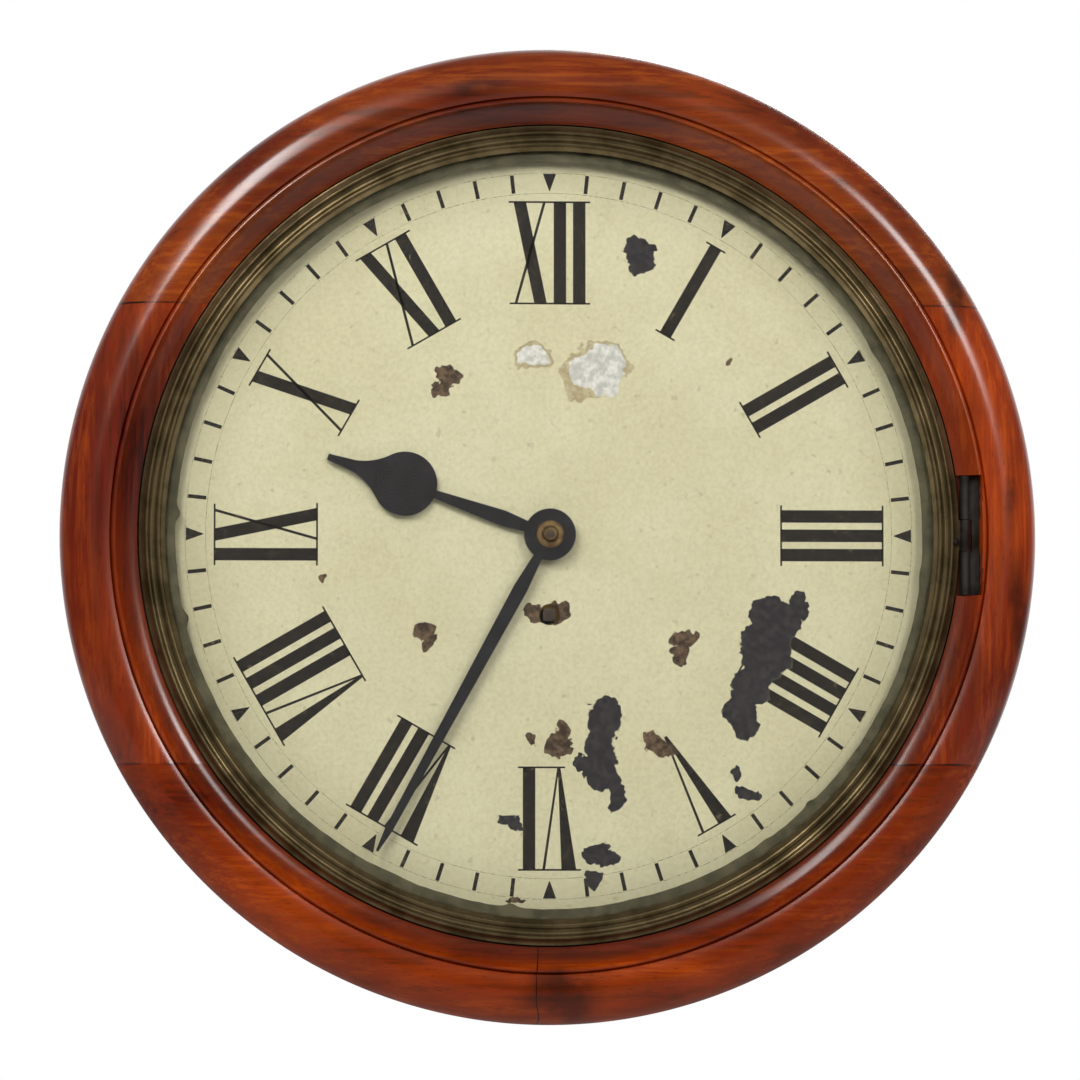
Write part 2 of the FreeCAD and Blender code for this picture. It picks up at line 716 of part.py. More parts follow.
def bezel():
    rim = f"({RIM_D})"
    ring = turned("0", "0", [
        (BEZEL_R, BEZEL_D),
        (BEZEL_R, rim, 2),
        (f"{BEZEL_R} - bezel_width * 0.24", f"{rim} + ridge_tall", -1.1),
        (f"{BEZEL_R} - bezel_width * 0.36", f"{rim} + ridge_tall * 0.9", 1.15),
        (f"{BEZEL_R} - bezel_width * 0.64", f"{rim} + bead_tall * 0.75", -1.1),
        (f"{BEZEL_R} - bezel_width * 0.84", f"{rim} + bead_tall * 0.8"),
        ("sight_radius", f"{LIP_D} + lip_thick"),
        ("sight_radius", LIP_D),
        (REBATE_R, LIP_D),
        (REBATE_R, BEZEL_D),
    ])
    node("bezel_ring", ring)
    glass_front = f"({LIP_D} - seat_gap)"
    glass_back = f"({glass_front} - glass_thick)"
    edge = f"({REBATE_R} - seat_gap)"
    swell = dome_swell(edge, "glass_rise")
    node("dial_glass", turned("0", "0", [
        ("0", f"{glass_back} + glass_rise", swell),
        (edge, glass_back),
        (edge, glass_front, -swell),
        ("0", f"{glass_front} + glass_rise"),
    ]))
    putty_front = f"({glass_back} - seat_gap / 3)"
    node("glass_putty", turned("0", "0", [
        (f"{REBATE_R} - seat_gap / 3", f"{putty_front} - putty_deep"),
        (f"{REBATE_R} - seat_gap / 3", putty_front),
        (f"{REBATE_R} - putty_width", putty_front),
    ]))
    tongue = "(hinge_tongue_tall / 2)"
    plate = slab(f"{RECESS_R}", HINGE_PLATE_D, "-hinge_tall / 2", "hinge_wide", "hinge_leaf_thick",
                 "hinge_tall")
    notch = slab(f"{RECESS_R} - 1", f"{HINGE_PLATE_D} - 1", f"-{tongue} - 0.3",
                 "2 * knuckle_radius + 2", "hinge_leaf_thick + 2", f"2 * {tongue} + 0.6")
    arm = f"(hinge_tall / 2 - {tongue} - 0.3)"
    knuckles = [rod(HINGE_X, HINGE_AXIS_D, start, "knuckle_radius", arm, UPRIGHT)
                for start in (f"{tongue} + 0.3", "-hinge_tall / 2")]
    pin = rod(HINGE_X, HINGE_AXIS_D, "-hinge_tall / 2", "pin_radius", "hinge_tall", UPRIGHT)
    node("bezel_hinge_plate", cut(fuse(cut(plate, notch), pin, *knuckles), SCREW_HOLES))
    leaf = slab(f"{BEZEL_R} + fit_gap", f"{HINGE_PLATE_D} + seat_gap", f"-{tongue}",
                f"{HINGE_X} - {BEZEL_R} - fit_gap",
                f"{HINGE_AXIS_D} - {HINGE_PLATE_D} - seat_gap", f"2 * {tongue}")
    eye = rod(HINGE_X, HINGE_AXIS_D, f"-{tongue}", "knuckle_radius", f"2 * {tongue}", UPRIGHT)
    bore = rod(HINGE_X, HINGE_AXIS_D, "-hinge_tall", "pin_radius + run_gap", "2 * hinge_tall", UPRIGHT)
    node("bezel_hinge_knuckle", cut(fuse(leaf, eye), bore))
    node("bezel_catch", slab(f"-{BEZEL_R} + 0.7 + door_gap", f"{BEZEL_D} - catch_long", "-catch_wide / 2",
                             "catch_thick", "catch_long", "catch_wide"))


bezel()


# Movement plates, pillars, pins, bridge and cock

PILLAR_OFF = "((barrel_radius + pillar_radius + pillar_gap) * 0.7071)"
PILLAR_LEFT = f"({BARREL_X} - {PILLAR_OFF})"
PILLAR_LOW = f"({BARREL_Z} - {PILLAR_OFF})"
PILLAR_HIGH = f"({ANCHOR_Z} + pillar_inset + 2)"
PILLARS = corners_of("plate_reach", PILLAR_LEFT, PILLAR_HIGH, PILLAR_LOW)
PIVOTS = [("0", "0", "arbor_radius"), (THIRD_X, THIRD_Z, "pivot_radius"), ("0", ESCAPE_Z, "pivot_radius")]


def movement_plate(depth, holes):
    board = slab(f"{PILLAR_LEFT} - pillar_inset", depth, f"{PILLAR_LOW} - pillar_inset",
                 f"plate_reach - {PILLAR_LEFT} + 2 * pillar_inset", "plate_thick",
                 f"{PILLAR_HIGH} - {PILLAR_LOW} + 2 * pillar_inset")
    drills = [rod(x, f"{depth} - 1", z, radius, "plate_thick + 2") for x, z, radius in holes]
    return cut(board, *drills)


def plates():
    running = [(x, z, f"{radius} + run_gap") for x, z, radius in PIVOTS]
    pillar_holes = [(x, z, "tenon_radius + fit_gap") for x, z in PILLARS]
    foot_holes = [(x, z, "tenon_radius + fit_gap") for x, z in FEET]
    front = movement_plate(FRONT_PLATE_D, running + pillar_holes + foot_holes + [
        ("0", ANCHOR_Z, "pivot_radius + run_gap"),
        ("0", "-winding_drop", "fusee_arbor_radius - 0.5 + run_gap"),
        (BARREL_X, BARREL_Z, "barrel_arbor_radius - 1 + fit_gap"),
    ])
    stud = rod(MINUTE_C, FRONT_PLATE_D, "0", "pivot_radius", f"{DIAL_D} - 1 - {FRONT_PLATE_D}")
    node("front_plate", fuse(front, stud))
    node("back_plate", movement_plate(BACK_PLATE_D, running + pillar_holes + [
        ("0", ANCHOR_Z, "staff_radius * 3"),
        ("0", "-winding_drop", "fusee_arbor_radius - 1.5 + run_gap"),
        (BARREL_X, BARREL_Z, "barrel_arbor_radius - 1 + fit_gap"),
    ]))
    made = []
    pins = []
    for x, z in PILLARS:
        pin_d = f"{MOTION_D} + taper_pin_radius + fit_gap"
        pin_hole = rod(f"{x} - 6", pin_d, z, "taper_pin_radius + fit_gap", "12", SIDEWAYS)
        made.append(cut(fuse(
            rod(x, TRAIN_D, z, "pillar_radius", "plate_gap"),
            rod(x, f"{TRAIN_D} + plate_gap * 0.45", z, "pillar_radius + 1", "plate_gap * 0.1"),
            rod(x, BACK_PLATE_D, z, "tenon_radius", "2 * plate_thick + plate_gap + plate_clear - 1"),
        ), pin_hole))
        pins.append(rod(f"{x} - 5", pin_d, z, "taper_pin_radius", "10", SIDEWAYS))
    for x, z in FEET:
        pins.append(rod(f"{x} - 5", f"{FRONT_PLATE_D} - taper_pin_radius - fit_gap", z,
                        "taper_pin_radius", "10", SIDEWAYS))
    node("plate_pillars", group(*made))
    node("taper_pins", group(*pins))


plates()

BRIDGE_PIPE_R = "(cannon_pipe_radius + run_gap + pipe_wall)"
HOUR_PIPE_R = f"({BRIDGE_PIPE_R} + run_gap + pipe_wall)"
BRIDGE_REACH = f"({MINUTE_C} / 2 + motion_module + 6)"


def bridge_and_cock():
    feet = [slab("-4", MOTION_D, f"{side} * {BRIDGE_REACH} - 4", "8", "4", "8") for side in (1, -1)]
    bar = slab("-4", f"{MOTION_D} + 4", f"-{BRIDGE_REACH} - 4", "8", "1.6", f"2 * {BRIDGE_REACH} + 8")
    pipe = rod("0", f"{MOTION_D} + 4", "0", BRIDGE_PIPE_R, "8")
    bore = rod("0", MOTION_D, "0", "cannon_pipe_radius + run_gap", "20")
    node("hour_bridge", cut(fuse(bar, pipe, *feet), bore))
    bar_d = f"({PENDULUM_D} + 3)"
    foot_wide = "8"
    legs = [slab(x, bar_d, f"{ANCHOR_Z} - 6", foot_wide, f"{BACK_PLATE_D} - {bar_d}", "12")
            for x in ("18", "-26")]
    bar = slab("-26", bar_d, f"{ANCHOR_Z} - 6", "52", "3", "12")
    chops = slab("-5", f"{PENDULUM_D} - 3", ANCHOR_Z, "10", "6", "8")
    slit = slab("-0.6", f"{PENDULUM_D} - 4", f"{ANCHOR_Z} - 1", "1.2", "7", "10")
    pivot = rod("0", bar_d, ANCHOR_Z, "pivot_radius + run_gap", "4")
    node("back_cock", cut(fuse(bar, chops, *legs), slit, pivot))


bridge_and_cock()


# Going train

def wheel(teeth, module, x, depth, z, bore, tooth_at, arms=0):
    """A brass wheel, crossed out to its arms."""
    size = value(module)
    wires = [tooth_wire(teeth, size, tooth_at), round_wire(bore)]
    if arms:
        wires += windows(value(bore) + 4, teeth * size / 2 - 4.5 * size, arms, 3)
    return shaped(plate_from(wires, "wheel_thick"), x, depth, z)


def pinion(leaves, module, x, depth, z, long, leaf_at):
    """The leaves of a steel pinion."""
    return shaped(plate_from([leaf_wire(leaves, value(module), leaf_at)], long), x, depth, z)


def train_arbor(x, z, collar_d, *extra):
    """A steel arbor between the plates, with its pivots and the collar its wheel is riveted to."""
    body = rod(x, f"{TRAIN_D} + 0.3", z, "staff_radius", "plate_gap - 0.6")
    pivots = rod(x, BACK_PLATE_D, z, "pivot_radius", "2 * plate_thick + plate_gap")
    collar = rod(x, collar_d, z, "staff_radius + 1.5", "1.2")
    return fuse(body, pivots, collar, *extra)


def train():
    fit = "staff_radius + fit_gap"
    node("centre_arbor", fuse(
        rod("0", BACK_PLATE_D, "0", "arbor_radius",
            f"{MINUTE_HAND_D} + hand_thick + collet_tall + 1 - {BACK_PLATE_D}"),
        pinion(CENTRE_LEAVES, GREAT_MODULE, "0", f"{TRAIN_D} + 1", "0", "5", 180 + 180 / CENTRE_LEAVES),
        rod("0", f"{TRAIN_D} + 34", "0", "arbor_radius + 1.5", "2.4"),
    ))
    third_at = value("third_lean")
    node("centre_wheel", wheel(CENTRE_TEETH, "centre_module", "0", f"{TRAIN_D} + 36.5", "0",
                               "arbor_radius + fit_gap", third_at, 5))
    node("third_arbor", train_arbor(
        THIRD_X, THIRD_Z, f"{TRAIN_D} + 7.6",
        pinion(THIRD_LEAVES, "centre_module", THIRD_X, f"{TRAIN_D} + 35", THIRD_Z, "4.5",
               third_at + 180 + 180 / THIRD_LEAVES)))
    escape_at = math.degrees(math.atan2(-value(THIRD_X), value(ESCAPE_Z) - value(THIRD_Z)))
    node("third_wheel", wheel(THIRD_TEETH, "third_module", THIRD_X, f"{TRAIN_D} + 6", THIRD_Z, fit,
                              escape_at, 5))
    node("escape_arbor", train_arbor(
        "0", ESCAPE_Z, f"{TRAIN_D} + 20.7",
        pinion(ESCAPE_LEAVES, "third_module", "0", f"{TRAIN_D} + 4.5", ESCAPE_Z, "4.5",
               escape_at + 180 + 180 / ESCAPE_LEAVES)))
    node("escape_wheel", shaped(plate_from(
        [escape_wire(), round_wire(fit)] + windows(value(fit) + 3, value("escape_radius") - 5.5, 5, 2),
        "wheel_thick"), "0", f"{TRAIN_D} + 22", ESCAPE_Z))
    node("great_wheel", wheel(GREAT_TEETH, GREAT_MODULE, "0", f"{TRAIN_D} + 2.5", "-winding_drop",
                              "fusee_arbor_radius + run_gap", 0))


def escape_wire():
    """Recoil teeth: a steep leading side and a long sloped back."""
    tip = value("escape_radius")
    root = tip * 0.8
    pitch = 360 / ESCAPE_TEETH
    points = []
    for tooth in range(ESCAPE_TEETH):
        middle = tooth * pitch
        points += [polar(root, middle - 0.45 * pitch), polar(tip, middle - 0.035 * pitch)]
        points += [polar(tip, middle + 0.035 * pitch), polar(root, middle + 0.1 * pitch)]
    return Part.makePolygon(points + points[:1])


def anchor():
    """Pallets that span seven and a half teeth, and the arbor that carries the crutch."""
    tip = value("escape_radius")
    centre_drop = Vector(0, 0, value(ESCAPE_Z) - value(ANCHOR_Z))
    nib = math.degrees(0.5 / tip)
    share = tip / 16
    right = [Vector(9 * share, 0, 2.5 * share)]
    right += [polar(tip + 4.2 * share, PALLET_ANGLE + 7) + centre_drop]
    right += [polar(tip - value("pallet_bite"), PALLET_ANGLE + nib) + centre_drop]
    right += [polar(tip - value("pallet_bite"), PALLET_ANGLE - nib) + centre_drop]
    right += [polar(tip + 2.2 * share, PALLET_ANGLE - 5) + centre_drop, Vector(6 * share, 0, -2.8 * share)]
    left = [Vector(-point.x, 0, point.z) for point in reversed(right)]
    ring = [Vector(0, 0, 5 * share)] + right + [Vector(0, 0, -4 * share)] + left
    pallets = plate_from([Part.makePolygon(ring + ring[:1]), round_wire("staff_radius + fit_gap")],
                         "2 * wheel_thick")
    node("pallet_anchor", shaped(pallets, "0", f"{TRAIN_D} + 21.2", ANCHOR_Z))
    bar_d = f"({PENDULUM_D} + 3)"
    arbor = fuse(
        rod("0", f"{bar_d} + 3.3", ANCHOR_Z, "staff_radius", f"{FRONT_PLATE_D} - {bar_d} - 3.6"),
        rod("0", bar_d, ANCHOR_Z, "pivot_radius", f"{MOTION_D} - {bar_d}"),
    )
    crutch_d = f"({BACK_PLATE_D} - 5)"
    collar = rod("0", f"{crutch_d} - 2", ANCHOR_Z, "staff_radius + 1.5", "4")
    drop = "(pendulum_length * 0.22)"
    stem = rod("0", crutch_d, f"{ANCHOR_Z} - {drop}", "1.1", drop, UPRIGHT)
    fork = slab("-4", f"{PENDULUM_D} - 5", f"{ANCHOR_Z} - {drop} - 2", "8",
                f"{crutch_d} + 2 - {PENDULUM_D} + 5", "4")
    slot = slab("-rod_radius - seat_gap", f"{PENDULUM_D} - 6", f"{ANCHOR_Z} - {drop} - 3",
                "2 * rod_radius + 2 * seat_gap", "6 + rod_radius + seat_gap", "6")
    node("crutch", fuse(arbor, collar, stem, cut(fork, slot)))


train()
anchor()


# Fusee, barrel, mainspring and line

def fusee():
    start = f"({TRAIN_D} + 5)"
    step = f"(fusee_long / {FUSEE_GROOVES})"
    fall = f"((fusee_wide - fusee_narrow) / {FUSEE_GROOVES})"
    corners = [("fusee_arbor_radius + fit_gap", start), ("fusee_wide + 1.5", start),
               ("fusee_wide + 1.5", f"{start} + 1")]
    for groove in range(FUSEE_GROOVES):
        corners.append((f"fusee_wide - {groove} * {fall}", f"{start} + 1 + {groove} * {step}"))
        corners.append((f"fusee_wide - {groove} * {fall} - line_radius",
                        f"{start} + 1 + ({groove} + 0.5) * {step}"))
    corners.append(("fusee_narrow", f"{start} + 1 + fusee_long"))
    corners.append(("fusee_arbor_radius + fit_gap", f"{start} + 1 + fusee_long"))
    node("fusee", turned("0", "-winding_drop", corners))
    square = slab("-winding_square / 2", MOTION_D, "-winding_drop - winding_square / 2", "winding_square",
                  f"{DIAL_D} - {MOTION_D}", "winding_square")
    node("fusee_arbor", fuse(
        rod("0", BACK_PLATE_D, "-winding_drop", "fusee_arbor_radius - 1.5", "2 * plate_thick"),
        rod("0", f"{TRAIN_D} + 0.3", "-winding_drop", "fusee_arbor_radius", "plate_gap - 0.6"),
        rod("0", f"{FRONT_PLATE_D} - 0.5", "-winding_drop", "fusee_arbor_radius - 0.5", "plate_thick + 1"),
        square,
    ))


def barrel():
    rear, front = f"({TRAIN_D} + 2)", f"({TRAIN_D} + plate_gap - 4)"
    bore = "barrel_arbor_radius + run_gap"
    drum = turned(BARREL_X, BARREL_Z, [
        (bore, rear), ("barrel_radius", rear), ("barrel_radius", front), (bore, front),
        (bore, f"{front} - barrel_wall"), ("barrel_radius - barrel_wall", f"{front} - barrel_wall"),
        ("barrel_radius - barrel_wall", f"{rear} + barrel_wall"), (bore, f"{rear} + barrel_wall"),
    ])
    node("barrel", drum)
    node("barrel_arbor", fuse(
        rod(BARREL_X, f"{TRAIN_D} + 0.3", BARREL_Z, "barrel_arbor_radius", "plate_gap - 0.6"),
        rod(BARREL_X, BACK_PLATE_D, BARREL_Z, "barrel_arbor_radius - 1", "2 * plate_thick + plate_gap + 3.5"),
    ))
    node("mainspring", shaped(mainspring(), BARREL_X, f"{rear} + barrel_wall + 0.5", BARREL_Z))
    node("setup_work", group(ratchet(), *click()))
    node("fusee_line", line_run())


def mainspring():
    """A ribbon wound in half turns that grow by half a pitch each."""
    thick = value("spring_thick")
    inner = value("barrel_arbor_radius + fit_gap")
    outer = value("barrel_radius - barrel_wall - seat_gap") - thick
    grow = (outer - inner) / SPRING_HALF_TURNS
    near = []
    far = []
    for turn in range(SPRING_HALF_TURNS):
        side = 1 if turn % 2 == 0 else -1
        middle = Vector(0 if turn % 2 == 0 else grow, 0, 0)
        radius = inner + grow * turn
        for edges, size in ((near, radius), (far, radius + thick)):
            edges.append(Part.Arc(middle + Vector(side * size, 0, 0), middle + Vector(0, 0, side * size),
                                  middle + Vector(-side * size, 0, 0)).toShape())
    start = Part.makeLine(near[0].Vertexes[0].Point, far[0].Vertexes[0].Point)
    end = Part.makeLine(near[-1].Vertexes[-1].Point, far[-1].Vertexes[-1].Point)
    wire = Part.Wire(Part.__sortEdges__(near + far + [start, end]))
    return plate_from([wire], "plate_gap - 6 - 2 * barrel_wall - 1")


def ratchet():
    """Set-up ratchet on the front end of the barrel's arbor."""
    tip = value("barrel_arbor_radius") * 2
    teeth = 20
    points = []
    for tooth in range(teeth):
        points += [polar(tip, 360 / teeth * tooth), polar(tip * 0.84, 360 / teeth * (tooth + 0.08))]
    wires = [Part.makePolygon(points + points[:1]), round_wire("barrel_arbor_radius - 1 + fit_gap")]
    return shaped(plate_from(wires, "2"), BARREL_X, f"{MOTION_D} + 0.3", BARREL_Z)


def click():
    """The click that stops the ratchet, with its screw."""
    far = f"({BARREL_X} + barrel_arbor_radius * 2 + 5)"
    high = f"({BARREL_Z} + 9)"
    arm = slab(f"{BARREL_X} + barrel_arbor_radius * 2 + 0.3", f"{MOTION_D} + 0.3", f"{BARREL_Z} - 1", "3",
               "2", "12")
    screw_head = rod(far, MOTION_D, high, "2.6", "3")
    return [fuse(arm, screw_head)]


def line_run():
    """The straight run of line from the barrel to the fusee, along their outer tangent."""
    depth = value(f"{TRAIN_D} + 6 + fusee_long / 2")
    gap = value("line_radius + fit_gap + seat_gap / 3")
    start = Vector(value(BARREL_X), 0, value(BARREL_Z))
    end = Vector(0, 0, -value("winding_drop"))
    start_radius = value("barrel_radius") + gap
    end_radius = value("(fusee_wide + fusee_narrow) / 2") + gap
    along = end - start
    lean = math.asin((start_radius - end_radius) / along.Length)
    along.normalize()
    out = Vector(-along.z, 0, along.x)
    away = out * math.cos(lean) + along * math.sin(lean)
    first, last = start + away * start_radius, end + away * end_radius
    run = last - first
    line = Part.makeCylinder(value("line_radius"), run.Length, first + Vector(0, -depth, 0), run)
    return shaped(line, "0", "0", "0")


fusee()
barrel()


# Motion work and hands

def motion_work():
    pipe_bore = "arbor_radius + run_gap"
    cannon_d = f"({MOTION_D} + 1)"
    toothed = wheel(CANNON_TEETH, "motion_module", "0", cannon_d, "0", pipe_bore, 90)
    pipe_long = f"({MINUTE_HAND_D} + hand_thick - {cannon_d})"
    pipe = cut(rod("0", cannon_d, "0", "cannon_pipe_radius", pipe_long),
               rod("0", f"{cannon_d} - 1", "0", pipe_bore, f"{pipe_long} + 2"))
    node("cannon_pinion", fuse(toothed, pipe))
    hour_d = f"({MOTION_D} + 7.5)"
    hour_module = f"({MINUTE_C} * 2 / {HOUR_TEETH + MINUTE_LEAVES})"
    bore = f"({BRIDGE_PIPE_R} + run_gap)"
    disc = wheel(HOUR_TEETH, hour_module, "0", hour_d, "0", bore, 90, 5)
    hour_long = f"({HOUR_HAND_D} + hand_thick - {hour_d})"
    pipe = cut(rod("0", hour_d, "0", HOUR_PIPE_R, hour_long),
               rod("0", f"{hour_d} - 1", "0", bore, f"{hour_long} + 2"))
    node("hour_wheel", fuse(disc, pipe))
    stud_bore = "pivot_radius + run_gap"
    gear = wheel(CANNON_TEETH, "motion_module", MINUTE_C, cannon_d, "0", stud_bore, 270 + 180 / CANNON_TEETH)
    leaves = cut(pinion(MINUTE_LEAVES, hour_module, MINUTE_C, cannon_d, "0",
                        f"{hour_d} + wheel_thick + 1 - {cannon_d}",
                        270 + 180 / MINUTE_LEAVES),
                 rod(MINUTE_C, MOTION_D, "0", stud_bore, "20"))
    node("minute_wheel", fuse(gear, leaves))


def mirrored(half):
    """A hand's outline: one edge from the boss to the tip, and the same edge back."""
    back = []
    for index in range(len(half) - 1, -1, -1):
        x, z = half[index][0], half[index][1]
        corner = (f"-({x})", z)
        if index > 0 and len(half[index - 1]) == 3:
            corner += (half[index - 1][2],)
        back.append(corner)
    return half + back


def hands():
    spade_low = "(spade_reach - spade_radius)"
    hour_edge = [
        ("2", "boss_radius * 0.8"),
        ("3.1", "boss_radius * 1.9"),
        ("1.6", f"{spade_low} + 0.15", -1.115),
        ("spade_radius * 0.707", "spade_reach + spade_radius * 0.707", 3.5),
        ("2.3", "hour_length - spade_radius * 0.87"),
        ("1.2", "hour_length"),
    ]
    hour = flat("0", HOUR_HAND_D, "0", mirrored(hour_edge), "hand_thick", HOUR_ANGLE)
    boss = rod("0", HOUR_HAND_D, "0", "boss_radius", "hand_thick")
    hole = rod("0", f"{HOUR_HAND_D} - 1", "0", f"{HOUR_PIPE_R} + fit_gap", "hand_thick + 2")
    node("hour_hand", cut(fuse(hour, boss), hole))
    minute_long = "(sight_radius - minute_tip_gap)"
    minute_edge = [
        ("minute_width * 0.3", "boss_radius * 0.8"),
        ("minute_width * 0.5", "boss_radius * 2.4"),
        ("minute_width * 0.28", f"{minute_long} * 0.93"),
        ("0.5", minute_long),
    ]
    minute = flat("0", MINUTE_HAND_D, "0", mirrored(minute_edge), "hand_thick", MINUTE_ANGLE)
    boss = rod("0", MINUTE_HAND_D, "0", "boss_radius", "hand_thick")
    hole = rod("0", f"{MINUTE_HAND_D} - 1", "0", "cannon_pipe_radius + fit_gap", "hand_thick + 2")
    node("minute_hand", cut(fuse(minute, boss), hole))
    front = f"({MINUTE_HAND_D} + hand_thick)"
    node("hand_collet", turned("0", "0", [
        ("arbor_radius + run_gap", front), ("collet_radius", front),
        ("collet_radius", f"{front} + collet_tall * 0.3", -1.3), ("arbor_radius + run_gap", f"{front} + collet_tall"),
    ]))


motion_work()
hands()


# Pendulum

def pendulum():
    strip_low = f"({ANCHOR_Z} - 12)"
    node("suspension_spring", slab("-spring_strip / 2", f"{PENDULUM_D} - 2", strip_low, "spring_strip", "4",
                                   "18"))
    chop = slab("-3", f"{PENDULUM_D} - 3", f"{strip_low} - 3", "6", "6", "8")
    slit = slab("-spring_strip / 2 - fit_gap", f"{PENDULUM_D} - 2 - fit_gap", strip_low,
                "spring_strip + 2 * fit_gap", "4 + 2 * fit_gap", "10")
    stem_low = f"({BOB_Z} - bob_radius - thread_reach + 1)"
    stem = rod("0", PENDULUM_D, stem_low, "rod_radius", f"{strip_low} - 2 - {stem_low}", UPRIGHT)
    node("pendulum_rod", fuse(cut(chop, slit), stem))
    rim = "(bob_thick / 20)"
    swell = dome_swell("bob_radius", f"bob_thick / 2 - {rim}")
    lens = turned("0", BOB_Z, [
        ("0", f"{PENDULUM_D} - bob_thick / 2", -swell),
        ("bob_radius", f"{PENDULUM_D} - {rim}"),
        ("bob_radius", f"{PENDULUM_D} + {rim}", -swell),
        ("0", f"{PENDULUM_D} + bob_thick / 2"),
    ])
    node("pendulum_bob", cut(lens, rod("0", PENDULUM_D, f"{BOB_Z} - bob_radius - 1", "rod_radius + run_gap",
                                       "2 * bob_radius + 2", UPRIGHT)))
    nut_low = f"({BOB_Z} - bob_radius - nut_tall - 0.2)"
    node("rating_nut", cut(rod("0", PENDULUM_D, nut_low, "nut_radius", "nut_tall", UPRIGHT),
                           rod("0", PENDULUM_D, f"{nut_low} - 1", "rod_radius + run_gap", "nut_tall + 2",
                               UPRIGHT)))


pendulum()


# Rebuild, test every object and write the nodes

doc.recompute()
for thing in doc.Objects:
    if "Invalid" in thing.State or "Error" in thing.State:
        raise RuntimeError(f"{thing.Name} ({thing.Label}) failed: {thing.State}")
os.makedirs("parts", exist_ok=True)
for thing in NODES:
    if thing.Shape.isNull() or not thing.Shape.isValid() or not thing.Shape.Solids:
        raise RuntimeError(f"{thing.Label} has no valid solid")
for thing in NODES:
    thing.Shape.exportStep(f"parts/{thing.Label}.step")
print(len(NODES), "nodes written")
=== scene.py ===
import math

import bmesh
import bpy
import numpy as np
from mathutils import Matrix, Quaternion, Vector


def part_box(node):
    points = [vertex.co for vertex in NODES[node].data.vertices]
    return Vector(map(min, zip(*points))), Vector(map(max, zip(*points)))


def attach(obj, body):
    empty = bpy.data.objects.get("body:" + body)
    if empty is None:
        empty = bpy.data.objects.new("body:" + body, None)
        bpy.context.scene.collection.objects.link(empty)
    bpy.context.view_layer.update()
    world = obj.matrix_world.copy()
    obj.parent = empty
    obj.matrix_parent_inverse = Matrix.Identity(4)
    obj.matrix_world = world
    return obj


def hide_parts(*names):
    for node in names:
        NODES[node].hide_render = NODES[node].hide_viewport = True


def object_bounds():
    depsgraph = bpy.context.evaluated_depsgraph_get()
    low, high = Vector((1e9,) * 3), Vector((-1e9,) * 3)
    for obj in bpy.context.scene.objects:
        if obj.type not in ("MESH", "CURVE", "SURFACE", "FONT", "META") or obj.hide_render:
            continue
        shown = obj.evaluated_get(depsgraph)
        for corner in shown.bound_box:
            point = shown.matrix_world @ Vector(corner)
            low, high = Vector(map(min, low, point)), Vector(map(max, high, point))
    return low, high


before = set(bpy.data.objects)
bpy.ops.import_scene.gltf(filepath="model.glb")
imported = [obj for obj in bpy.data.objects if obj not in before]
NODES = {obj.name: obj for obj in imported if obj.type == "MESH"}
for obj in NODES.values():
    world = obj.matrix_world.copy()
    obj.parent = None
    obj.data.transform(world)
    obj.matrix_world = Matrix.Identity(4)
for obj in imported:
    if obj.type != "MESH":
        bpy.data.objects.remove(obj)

# Dial clock on a wall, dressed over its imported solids.
# Shapes are worked out in millimetres as (x, depth, height), with depth from the wall towards the
# viewer, and become metres in the frame when they are put into a mesh.

cad_low, cad_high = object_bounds()
MM = 0.001


def front_of(name):
    """Depth of a node's front, in millimetres."""
    return -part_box(name)[0].y / MM


def rear_of(name):
    """Depth of a node's rear, in millimetres."""
    return -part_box(name)[1].y / MM


# Sizes of the turned pieces, from the dial's axis and from the wall

BOX_FRONT = front_of("box_top")
SEAT_DEPTH = rear_of("dial_plate")
DIAL_FACE = front_of("dial_plate")
BEZEL_BACK = rear_of("bezel_ring")
GLASS_BACK = rear_of("dial_glass")
COLLET_SEAT = rear_of("hand_collet")
HINGE_FLOOR = rear_of("bezel_hinge_plate")
BORE = 104
SIGHT = 150.3
REBATE = SIGHT + 2
BEZEL_EDGE = SIGHT + 10.2
RECESS = BEZEL_EDGE + 0.7
SLOPE_EDGE = RECESS + 8.4
BEAD_EDGE = SLOPE_EDGE + 1.4
GROOVE_EDGE = BEAD_EDGE + 1
RING_EDGE = GROOVE_EDGE + 19.5
SLOPE_TOP = SEAT_DEPTH + 11
RIM = BEZEL_BACK + 5
LIP = RIM + 1.5
JOINT_HEIGHT = 90
GLUE_GAP = 0.02


# Mesh making

def make_piece(name, points, faces, body, finish, stands_for=(), sharp=35, capped=False):
    """A piece from an array of points and an array of four-cornered faces, set to ride a body."""
    mesh = bpy.data.meshes.new(name)
    placed = np.asarray(points, float).reshape(-1, 3) * (MM, -MM, MM)
    mesh.vertices.add(len(placed))
    mesh.vertices.foreach_set("co", placed.ravel())
    mesh.loops.add(faces.size)
    mesh.loops.foreach_set("vertex_index", faces.ravel().astype(np.int32))
    mesh.polygons.add(len(faces))
    mesh.polygons.foreach_set("loop_start", (np.arange(len(faces)) * faces.shape[1]).astype(np.int32))
    mesh.update(calc_edges=True)
    work = bmesh.new()
    work.from_mesh(mesh)
    bmesh.ops.remove_doubles(work, verts=work.verts, dist=1e-7)
    if capped:
        rims = [edge for edge in work.edges if edge.is_boundary]
        bmesh.ops.holes_fill(work, edges=rims, sides=0)
    bmesh.ops.recalc_face_normals(work, faces=work.faces)
    work.to_mesh(mesh)
    work.free()
    mesh.polygons.foreach_set("use_smooth", np.ones(len(mesh.polygons), bool))
    mesh.set_sharp_from_angle(angle=math.radians(sharp))
    mesh.materials.append(finish)
    piece = bpy.data.objects.new(name, mesh)
    bpy.context.scene.collection.objects.link(piece)
    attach(piece, body)
    if stands_for:
        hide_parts(*stands_for)
    return piece


